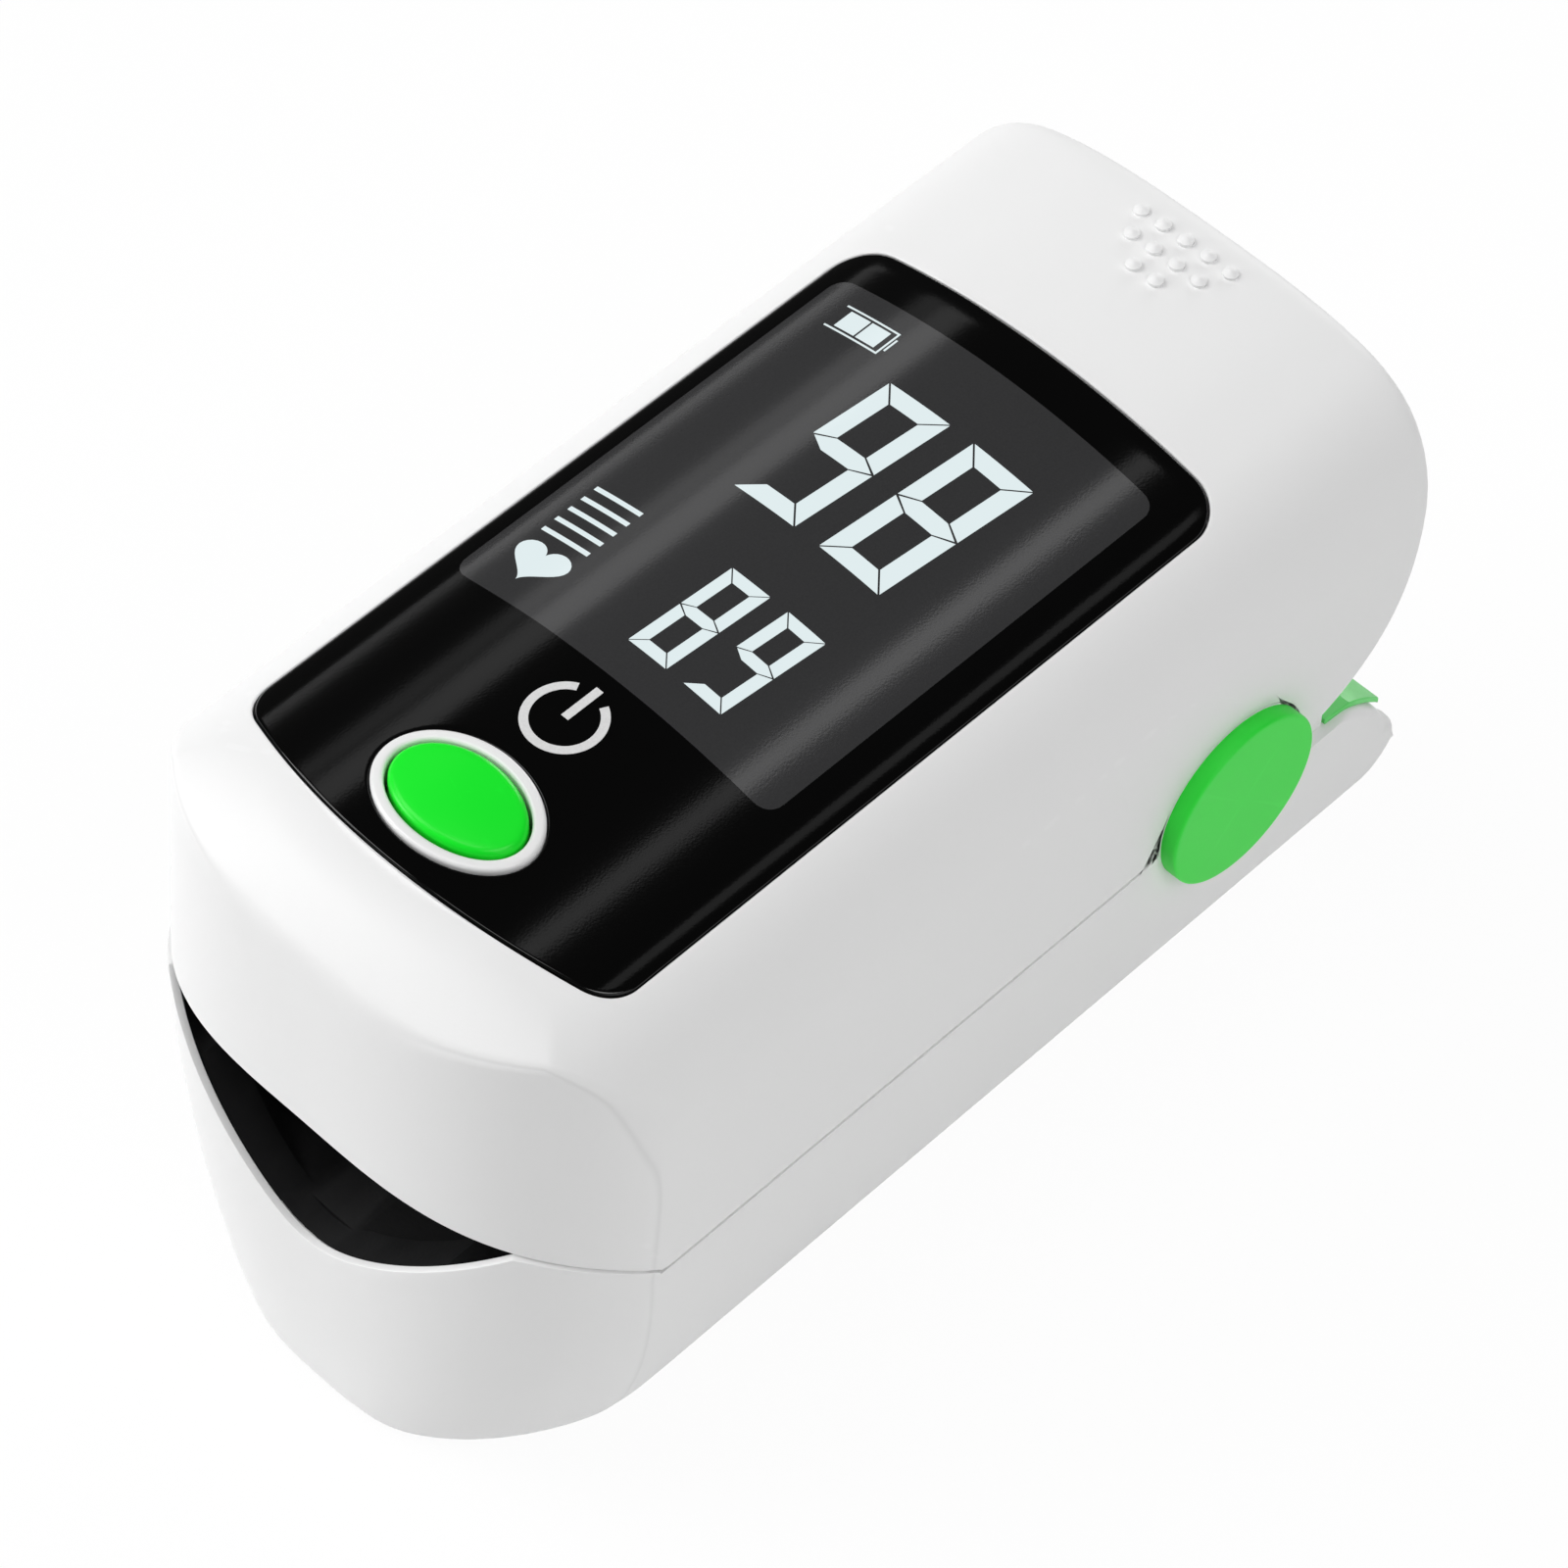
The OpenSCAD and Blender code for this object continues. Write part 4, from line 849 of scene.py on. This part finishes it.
def lens_curve(grow=0.0):
    """The lens from above as four lines between its corners: a front edge that bows forward by
    2.34 mm, straight sides and a straight rear, joined by corner radii."""
    w, c, x0, x1 = LENS_W + grow, LENS_C, LENS_X0 - grow, LENS_X1 + grow
    a = np.arctan(2 * LENS_BOW * (w - 0.7 * c) / w ** 2)
    y0 = w - c + c * np.sin(a)
    cx = x0 + LENS_BOW * (y0 / w) ** 2 + c * np.cos(a)
    y = np.linspace(-y0, y0, 80)
    front = np.stack([x0 + LENS_BOW * (y / w) ** 2, y], 1)

    def corner(px, py, a0, a1):
        """An arc of the corner radius from angle a0 to a1."""
        t = np.linspace(a0, a1, 18)
        return np.stack([px + c * np.cos(t), py + c * np.sin(t)], 1)

    first = corner(cx, w - c, np.pi - a, np.pi / 2)
    second = corner(x1 - c, w - c, np.pi / 2, 0)
    flip = np.array([1, -1])
    front = np.concatenate([first[1:10][::-1] * flip, front, first[1:10]])
    right = np.concatenate([first[9:], second[:10]])
    rear = np.concatenate([second[9:], second[9:][::-1] * flip])
    return front, right, rear, right[::-1] * flip


def lens_loop(n_front, n_side, n_rear, grow=0.0):
    """The lens outline as one closed curve with a set number of points on each line."""
    counts = (n_front, n_side, n_rear, n_side)
    return blend_points(*(even(part, n) for part, n in zip(lens_curve(grow), counts)))


EDGE_Y = CROWN_R * SHOULDER_Y / (CROWN_R - SHOULDER_R)


def crown_at(y):
    """Height of the crown's arc at y, or of the shoulder's arc beyond the edge between them."""
    side = np.abs(y)
    fall = np.maximum(SHOULDER_R ** 2 - np.maximum(side - SHOULDER_Y, 0) ** 2, 0)
    crown = CROWN_Z + np.sqrt(CROWN_R ** 2 - side ** 2)
    return np.where(side < EDGE_Y, crown, SHOULDER_Z + np.sqrt(fall))


def raise_to_crown(plan, drop=0.0):
    """Plan points lifted onto the crown, drop below it."""
    return xyz(plan[..., 0], plan[..., 1], crown_at(plan[..., 1]) - drop)


print("lens outline in mm:", np.ptp(lens_loop(121, 181, 101), axis=0).round(2))

# %% Parting line of the upper shell
N_BACK = 101
top_z0 = SEAM_Z + SEAM_HALF
z_arch = arch_at(y_front) + 0.02
x_arch = NOSE_X + (x_front - NOSE_X) / np.cos(LEAN) + np.tan(LEAN) * (z_arch - SEAM_Z)
arch = xyz(x_arch, y_front, z_arch)
notch_a = np.degrees(np.arcsin((top_z0 - HINGE_Z) / NOTCH_R))
notch = arc_line(HINGE_X, HINGE_Z, NOTCH_R, 180 - notch_a, notch_a, 84)
pinch_arc = arc_line(PINCH_X, PINCH_Z, PINCH_R, -74.6, -63.15, 8)
top_side = np.concatenate([
    line((x_arch[-1], HALF_W, top_z0), notch[0], 70)[:-1], notch[:-1],
    line(notch[-1], pinch_arc[0], 10)[:-1], pinch_arc])
top_rear = line((OPEN_X, HALF_W, HINGE_Z), (OPEN_X, -HALF_W, HINGE_Z), N_BACK)
top_rim = blend_points(arch, top_side, top_rear, mirrored(top_side))
pocket_plan = lens_loop(N_FRONT, len(top_side), N_BACK, 0.1)
pocket = raise_to_crown(pocket_plan)
print("points on the upper rim:", len(top_rim), "pocket:", len(pocket))

# %% Wall of the upper shell
LAP_WALL, LAP_ANGLE, LAP_Y = 0.45, np.radians(12.5), 12
POCKET_R, TOP_MIDDLE = 0.1, (-15, 16, 24.0)
LEDGE = [(0, 2.4), (-1.8, 2.4), (-1.8, 1.45), (-0.1, 1.45), (0, 1.42), (0, 0.1)]


def upper_inside(p):
    """Inner face: 1.5 mm in, but only 0.45 mm in where the shell laps over the tongue."""
    x, y, z = p[..., 0], p[..., 1], p[..., 2]
    lap_z = HINGE_Z - 0.1 + np.tan(LAP_ANGLE) * (x - HINGE_X)
    lap = np.clip(np.stack([lap_z - z, x - HINGE_X, OPEN_X + 0.1 - x]) / 0.2, 0, 1).prod(0)
    return upper_distance(p, WALL - (WALL - LAP_WALL) * lap * (np.abs(y) > LAP_Y))


def upper_ring(rim, pocket, plan):
    """The closed wall: outer sheet, rounded end at the rim, inner sheet back, the ledge that
    carries the lens in pairs of (outset, depth), and a rounded lip up to the outer face."""
    start = middle_line(rim, *TOP_MIDDLE)
    edge, out, off = wall_edge(upper_distance, start, rim, pocket)
    inward = unit(np.concatenate([plan.mean(0) - plan, np.zeros((len(plan), 1))], 1))
    out_a = normals(upper_distance, pocket)
    off_a = along(pocket, out_a, inward)
    behind = (rim[:, 0] > HINGE_X) & (np.abs(rim[:, 1]) > HALF_W - 0.01)
    r = np.where(rim[:, :1] < CREASE_X, RIM_R, SEAM_R)
    outer = sheet(upper_distance, start, pocket - POCKET_R * off_a, edge - r * off, 90)
    end = wall_end(edge, out, off, np.where(behind, LAP_WALL, WALL), r)
    back = sheet(upper_inside, start, end[-1], pocket - WALL * out_a - 0.6 * off_a, 16, bunch=1.0)
    ledge = [raise_to_crown(lens_loop(N_FRONT, len(top_side), N_BACK, 0.1 + grow), depth)
             for grow, depth in LEDGE]
    lip = wall_end(pocket, out_a, off_a, WALL, POCKET_R)[:5][::-1]
    return np.concatenate([outer, end[1:-1], back, ledge, lip[:-1]])


upper_wall = upper_ring(top_rim, pocket, pocket_plan)
mark_crease(make_piece("upper_shell_skin", [ring_body(upper_wall)], "jaw", "shell",
                       ["upper_shell"]))
print("upper shell in mm:", np.ptp(upper_wall.reshape(-1, 3), axis=0).round(2))

# %% [markdown]
# ## Grip dots
# Rows of small domes on the heel keep the finger from slipping. A dome is the top of a sphere
# whose foot flows out into the shell, so each is a lathe shape whose height falls with distance.

# %% Grip dots
def grip_dot(x, y, r=0.4, high=0.14):
    """A dome 0.14 mm high on the crown: it falls as cos^1.3 of the share of its 0.4 mm radius."""
    share = np.linspace(0.04, 1, 7)[:, None]
    a = np.linspace(0, 2 * np.pi, 20, endpoint=False)[None]
    px, py = x + r * share * np.cos(a), y + r * share * np.sin(a)
    rise = high * np.cos(share * np.pi / 2) ** 1.3
    surface = xyz(px, py, crown_at(py) + rise - 0.012)
    return capped_body(np.concatenate([surface, surface[-1:] - [0, 0, 0.2]]))


DOT_ROWS, DOT_STEP = [(27.9, 5), (26.45, 4), (25.0, 2)], 1.43
dots = [grip_dot(x, (k - (n - 1) / 2) * DOT_STEP) for x, n in DOT_ROWS for k in range(n)]
make_piece("grip_dots", dots, "jaw", "shell")

# %% [markdown]
# ## Lens panel, ring and button
# The lens is a plate with an oval hole. It is a ring of points too: from the hole across the
# crown to the outline, over a small radius, down, and back underneath. The ring and the button
# are ovals swept with their own little profiles.

# %% Lens panel
BUTTON_X, HOLE_RX, HOLE_RY = -19.45, 3.25, 4.6


def oval(rx, ry, n=120):
    """An oval from above round the middle of the button."""
    a = np.linspace(0, 2 * np.pi, n, endpoint=False)
    return np.stack([BUTTON_X + rx * np.cos(a), ry * np.sin(a)], 1)


def oval_toward(points, rx, ry):
    """For each point, the place on the oval in its direction from the button's middle."""
    d = points - [BUTTON_X, 0]
    return [BUTTON_X, 0] + d / np.hypot(d[:, :1] / rx, d[:, 1:] / ry)


def lens_rows(r=0.08, t=1.38):
    """Plan curves and drops of the section: hole wall, radius, top, radius, side, underside."""
    def plan(inset):
        """The outline, inset."""
        return lens_loop(131, 161, 81, -inset)

    def hole(outset):
        """The hole, outset, with a point for each point of the outline."""
        return oval_toward(plan(r), HOLE_RX + outset, HOLE_RY + outset)

    turn = np.linspace(0, np.pi / 2, 6)
    rows = [raise_to_crown(hole(0), t)]
    rows += [raise_to_crown(hole(r * (1 - np.cos(a))), r * (1 - np.sin(a))) for a in turn]
    for share in np.linspace(0, 1, 30)[1:-1]:
        rows.append(raise_to_crown(hole(r) * (1 - share) + plan(r) * share))
    rows += [raise_to_crown(plan(r * (1 - np.sin(a))), r * (1 - np.cos(a))) for a in turn]
    rows += [raise_to_crown(plan(0), t), raise_to_crown((hole(0) + plan(0)) / 2, t)]
    return np.array(rows)


make_piece("lens_skin", [ring_body(lens_rows())], "jaw", "lens_black", ["lens_panel"])

# %% Ring and button
def button_ring(rx=2.56, ry=3.91, r=0.2, flat=0.43, foot=-1.3):
    """An oval carrying a profile of (outset, height over the crown) pairs: up from the foot,
    over a quarter circle, a flat and another quarter circle, and down again."""
    turn = np.linspace(0, np.pi / 2, 7)
    profile = [(0.0, foot), *zip(r - r * np.cos(turn), 0.05 + r * np.sin(turn)),
               *zip(flat + r * np.sin(turn), 0.05 + r * np.cos(turn)), (flat + r, foot)]
    return np.array([raise_to_crown(oval(rx + s, ry + s, 144), -h) for s, h in profile])


make_piece("ring_skin", [ring_body(button_ring())], "jaw", "ring_white", ["button_ring"])


def button_rings(rx=2.4, ry=3.75, r=0.35, top=36.3, dome_r=16):
    """The button: a flange, straight sides, a radius of 0.35 mm and a domed top, as rings that
    shrink to the middle. The dome is z = top - (16 - sqrt(16^2 - distance^2))."""
    def ring(a, b, drop):
        """An oval on the dome, or drop below it."""
        x, y = oval(a, b).T
        fall = dome_r - np.sqrt(dome_r ** 2 - ((x - BUTTON_X) ** 2 + y ** 2))
        return xyz(x, y, top - fall - drop)

    rings = [xyz(*oval(rx + s, ry + s).T, z)
             for s, z in [(0.6, 33.2), (0.6, 33.8), (0.0, 33.8), (0.0, 35.55)]]
    for a in np.linspace(0, np.pi / 2, 7):
        inset = r * (1 - np.cos(a))
        rings.append(ring(rx - inset, ry - inset, r * (1 - np.sin(a))))
    rings += [ring((rx - r) * s, (ry - r) * s, 0) for s in np.linspace(0.92, 0.04, 16)]
    return np.array(rings)


make_piece("button_skin", [capped_body(button_rings())], "button", "button_green",
           ["power_button"])

# %% [markdown]
# ## Hinge caps
# Two round caps close the ends of the hinge pin. A cap is a lathe shape: a flat disc, a sloping
# rim and a peg that holds it.

# %% Hinge caps
def hinge_cap(sign):
    """Rings about the hinge axis from pairs of (radius, distance out of the side)."""
    profile = [(1.45, -0.74), (1.5, -0.68), (1.5, 0.0), (4.88, 0.0), (4.9, 0.02), (4.9, 0.4),
               (4.9, 0.76), (4.885, 0.82), (4.85, 0.865), (4.8, 0.89), (4.7, 0.9), (4.5, 0.9),
               (2.4, 0.9), (0.1, 0.9)]
    r, out = np.array(profile).T[..., None]
    a = np.linspace(0, 2 * np.pi, 128, endpoint=False)
    return xyz(HINGE_X + r * np.cos(a), sign * (HALF_W + out), HINGE_Z + r * np.sin(a))


for hand, sign in [("left", 1), ("right", -1)]:
    make_piece(f"cap_{hand}_skin", [capped_body(hinge_cap(sign))], "base", "cap_green",
               [f"hinge_cap_{hand}"])

# %% [markdown]
# ## Window and figures
# The lit part of the display shows through a window in the lens, and its figures are lit
# segments with thin dark joints. Each is a thin skin that follows the crown. The figures show a
# plain reading; nothing is written on the device.

# %% Thin skins on the crown
def crown_skin(plan, lift, sink=0.01):
    """A slab of a grid of plan points, from sink under the crown to lift over it."""
    return slab_body(raise_to_crown(plan, -lift), raise_to_crown(plan, sink))


def patch(corners, nx, ny):
    """A grid between four plan corners: mixes of its two long edges."""
    a, b, c, d = np.array(corners, float)
    s, t = np.linspace(0, 1, nx)[None, :, None], np.linspace(0, 1, ny)[:, None, None]
    return (1 - t) * ((1 - s) * a + s * b) + t * ((1 - s) * d + s * c)


def round_rectangle(x0, x1, w, c, nx=70, ny=60):
    """A grid over a rectangle whose corners are drawn in: near each corner the square edge is
    pulled onto a quarter circle of radius c."""
    x, y = np.meshgrid(np.linspace(x0, x1, nx), np.linspace(-w, w, ny))
    cx, cy = np.clip(x, x0 + c, x1 - c), np.clip(y, c - w, w - c)
    dx, dy = x - cx, y - cy
    size = np.maximum(np.hypot(dx, dy), 1e-9)
    scale = np.maximum(np.abs(dx), np.abs(dy)) / size
    return np.stack([cx + dx * scale, cy + dy * scale], -1)


window = round_rectangle(-9.85, 15.5, 10.15, 0.9) + [0, 0.5]
make_piece("display_window", [crown_skin(window, 0.012)], "jaw", "display",
           material=window_grey, sharp=30)

# %% Seven-segment digits
SEGMENTS, LIT_H = {"8": "abcdef", "9": "abcdf"}, 0.03


def digit_plan(sign, place, size, slant, stroke, gap):
    """Segment patches of one digit. In the reader's frame (right, up), the corners of a bar are
    mitred at 45 degrees, the other outer bars are the top and left ones turned over, and the
    middle bar is pointed; then right is -Y and up is +X."""
    w, h = size
    m, s, g = h / 2, stroke, gap / 2
    top = np.array([(g, h), (w - g, h), (w - s - g, h - s), (s + g, h - s)])
    left = np.array([(0, h - g), (s, h - s - g), (s, m + s / 2 + g), (0, m + g)])
    bars = {"a": top, "d": abs([0, h] - top), "f": left, "b": abs([w, 0] - left),
            "e": abs([0, h] - left), "c": abs([w, h] - left)}
    patches = [patch(bars[k], 8, 4) for k in SEGMENTS[sign]]
    row = np.linspace(0, 1, 8)[:, None]
    patches.append(np.array([(1 - row) * (x, y) + row * (w - x, y) for x, y in
                             [(s + g, m + s / 2), (2 * g, m), (s + g, m - s / 2)]]))
    x0, y0 = place
    return [np.stack([x0 + p[..., 1], y0 - p[..., 0] - slant * p[..., 1] / h], -1) for p in patches]


DIGITS = [("9", (2.1, 4.45), (3.88, 9.45), 0.8, 1.0, 0.13),
          ("8", (2.1, -1.0), (3.78, 9.45), 0.72, 1.0, 0.13),
          ("8", (-7.84, 1.2), (2.42, 6.25), 0.36, 0.64, 0.09),
          ("9", (-7.8, -2.26), (2.36, 6.22), 0.44, 0.64, 0.09)]
digits = [crown_skin(plan, LIT_H) for digit in DIGITS for plan in digit_plan(*digit)]
make_piece("lit_digits", digits, "jaw", "display", material=figures_lit, sharp=30)

# %% Heart, bars and battery symbol
def heart_plan(cx, cy, size):
    """Rings of the curve right = 16 sin^3 t, up = 13 cos t - 5 cos 2t - 2 cos 3t - cos 4t."""
    t = np.linspace(0, 2 * np.pi, 48, endpoint=False)
    right = 16 * np.sin(t) ** 3
    up = 13 * np.cos(t) - 5 * np.cos(2 * t) - 2 * np.cos(3 * t) - np.cos(4 * t) + 2.5
    share = np.linspace(0.06, 1, 6)[:, None]
    return np.stack([cx + share * up * size[1] / 30, cy - share * right * size[0] / 32], -1)


def bar(x0, x1, y0, y1):
    """A grid over an upright rectangle of plan points."""
    return patch([(x0, y0), (x1, y0), (x1, y1), (x0, y1)], 2, 10)


heart = heart_plan(-7.35, 7.75, (3.2, 2.5))
heart_rings = [raise_to_crown(heart, -LIT_H), raise_to_crown(heart[-1:], 0.012)]
graph = [(x - 0.13, x + 0.13, 6.25, 9.25) for x in np.linspace(-5.4, -2.05, 5)]
battery = [(12.5, 12.6, 5.5, 8.9), (14.1, 14.2, 5.5, 8.9), (12.5, 14.2, 5.5, 5.6),
           (12.9, 13.8, 5.3, 5.4), (12.75, 13.95, 7.2, 8.45), (12.75, 13.95, 5.9, 7.08)]
symbols = [capped_body(np.concatenate(heart_rings))]
symbols += [crown_skin(bar(*box), LIT_H) for box in graph + battery]
make_piece("lit_symbols", symbols, "jaw", "display", material=figures_lit, sharp=30)

# %% Power symbol
def power_symbol(x=-12.95, lift=0.02):
    """Printed on the lens: most of a ring of 1.83 mm, open towards the display, and a stroke."""
    a = np.radians(np.linspace(27, 333, 72))[None]
    r = np.array([1.61, 1.76, 1.9, 2.05])[:, None]
    ring = np.stack([x + r * np.cos(a), r * np.sin(a)], -1)
    return [crown_skin(ring, lift), crown_skin(bar(x, x + 2.2, -0.22, 0.22), lift)]


make_piece("power_symbol", power_symbol(), "jaw", "lens_black", material=print_white, sharp=30)

# %% [markdown]
# ## Inner frame and finger pads
# The green frame shows only at the tail, so a copy of its CAD mesh, merged and with its edges
# bevelled, is enough. The pads are soft silicone with a groove for the finger. Their blocks are
# right in the CAD too, so they take a wider bevel in the same way.

# %% Inner frame and finger pads
def bevelled_copy(name, node, body, slot, width, bend=35):
    """A merged copy of a CAD node with a bevel on every edge that turns by more than bend."""
    shape = bmesh.new()
    shape.from_mesh(frame["nodes"][node].data)
    bmesh.ops.remove_doubles(shape, verts=shape.verts, dist=1e-6)
    bmesh.ops.dissolve_limit(shape, angle_limit=np.radians(0.5), verts=shape.verts,
                             edges=shape.edges)
    mesh = bpy.data.meshes.new(name)
    shape.to_mesh(mesh)
    shape.free()
    piece = finish_piece(name, mesh, body, slot, [node], sharp=bend)
    bevel = piece.modifiers.new("soft edges", "BEVEL")
    bevel.width, bevel.segments, bevel.limit_method = width * MM, 3, "ANGLE"
    bevel.angle_limit = np.radians(bend)


bevelled_copy("lower_frame_skin", "lower_inner_frame", "base", "frame_green", 0.12)
bevelled_copy("lower_pad_skin", "lower_pad", "base", "pad_black", 0.22)
bevelled_copy("upper_pad_skin", "upper_pad", "jaw", "pad_black", 0.22)

# %% [markdown]
# ## Studio
# The device stands on a plain white floor under a large soft box, with a dim surround. Long
# narrow boxes run along the body, low in strength, because a black lens shows nothing but what
# it mirrors: they draw the soft lengthwise streaks on it.

# %% Floor
def stage_floor():
    """A square of 6 m. To the camera, in mirrors and through glass it is almost plain white,
    and to all other light it is white paint."""
    mesh = bpy.data.meshes.new("floor")
    mesh.from_pydata([(-3, -3, 0), (3, -3, 0), (3, 3, 0), (-3, 3, 0)], [], [(0, 1, 2, 3)])
    floor = add_object("floor", mesh)
    material, tree = new_material("floor white")
    set_values(tree.nodes["surface"], {"Base_Color": (0.9, 0.9, 0.9, 1), "Roughness": 0.9})
    add(tree, "glow", "Emission", Strength=1.0)
    add(tree, "path", "LightPath")
    add(tree, "seen", "Math", operation="MAXIMUM")
    add(tree, "any", "Math", operation="MAXIMUM")
    add(tree, "share", "Math", operation="MULTIPLY", _1=0.95)
    add(tree, "mix", "MixShader")
    wire(tree, """path.Is_Camera_Ray seen.0, path.Is_Glossy_Ray seen.1, seen.0 any.0,
        path.Is_Transmission_Ray any.1, any.0 share.0, share.0 mix.0, surface.0 mix.1,
        glow.0 mix.2, mix.0 Material_Output.Surface""")
    mesh.materials.append(material)
    return floor


print("floor corners in m:", [tuple(v.co[:2]) for v in stage_floor().data.vertices])

# %% Soft boxes
def soft_box(name, place, size, power, aim=(0, 0, 20), level=None):
    """An area lamp of size (width, height) in mm at place, turned towards aim; its width lies
    along level, or else across the Y axis."""
    lamp = bpy.data.lights.new(name, "AREA")
    lamp.shape = "RECTANGLE"
    lamp.size, lamp.size_y, lamp.energy = size[0] * MM, size[1] * MM, power
    z = unit(np.array(place, float) - aim)
    y = unit(np.cross(z, np.cross([0, 1, 0], z) if level is None else level))
    set_pose(add_object(name, lamp), np.cross(y, z), y, z, place)


BOXES = [("key", (-234, 468, 577), (450, 450), 3.0), ("roof", (-60, 60, 780), (300, 300), 1.1),
         ("top fill", (-60, -496, 664), (500, 300), 2.4),
         ("side fill", (-60, -700, 260), (500, 300), 0.65),
         ("left fill", (-450, 510, 125), (300, 300), 2.0),
         ("far fill", (700, 260, 170), (300, 300), 1.6)]
for box in BOXES:
    soft_box(*box)
print("soft boxes:", [box[0] for box in BOXES])

# %% Streaks on the lens
def streak(name, y, width, glow, far=600):
    """A strip that the lens mirrors to the camera all along a line at y: near both ends of the
    line the sight is turned about the surface's normal and followed for 600 mm. Beyond the
    crown's arc the lens bends down over the shoulder's arc."""
    bend, middle_y = (CROWN_R, 0) if abs(y) < EDGE_Y else (SHOULDER_R, np.sign(y) * SHOULDER_Y)
    tilt = np.arcsin((y - middle_y) / bend)
    normal = np.array([0, np.sin(tilt), np.cos(tilt)])
    spots = np.array([[-20.0, y, crown_at(y)], [16.0, y, crown_at(y)]])
    sight = unit(spots - eye)
    ends = spots + far * (sight - 2 * (sight @ normal)[:, None] * normal)
    reach = 1.5 * np.linalg.norm(ends[1] - ends[0])
    spread = 2 * far * width / bend
    soft_box(name, ends.mean(0), (reach, spread), glow * np.pi * reach * spread * MM * MM,
             aim=spots.mean(0), level=ends[1] - ends[0])


STREAKS = [(10.1, 0.9, 0.75), (6.1, 0.9, 0.45), (4.6, 1.6, 0.8), (-7.7, 1.1, 1.0),
           (-11.1, 0.35, 0.5)]
for k, (y, width, glow) in enumerate(STREAKS):
    streak(f"streak {k + 1}", y, width, glow)
print("streaks:", len(STREAKS))

# %% Surround
SURROUND = 0.05
world = bpy.data.worlds.new("surround")
world.use_nodes = True
set_values(world.node_tree.nodes["Background"], {"Color": (1, 1, 1, 1), "Strength": SURROUND})
bpy.context.scene.world = world
bpy.context.scene.view_settings.view_transform = "Standard"
print("surround strength:", SURROUND)
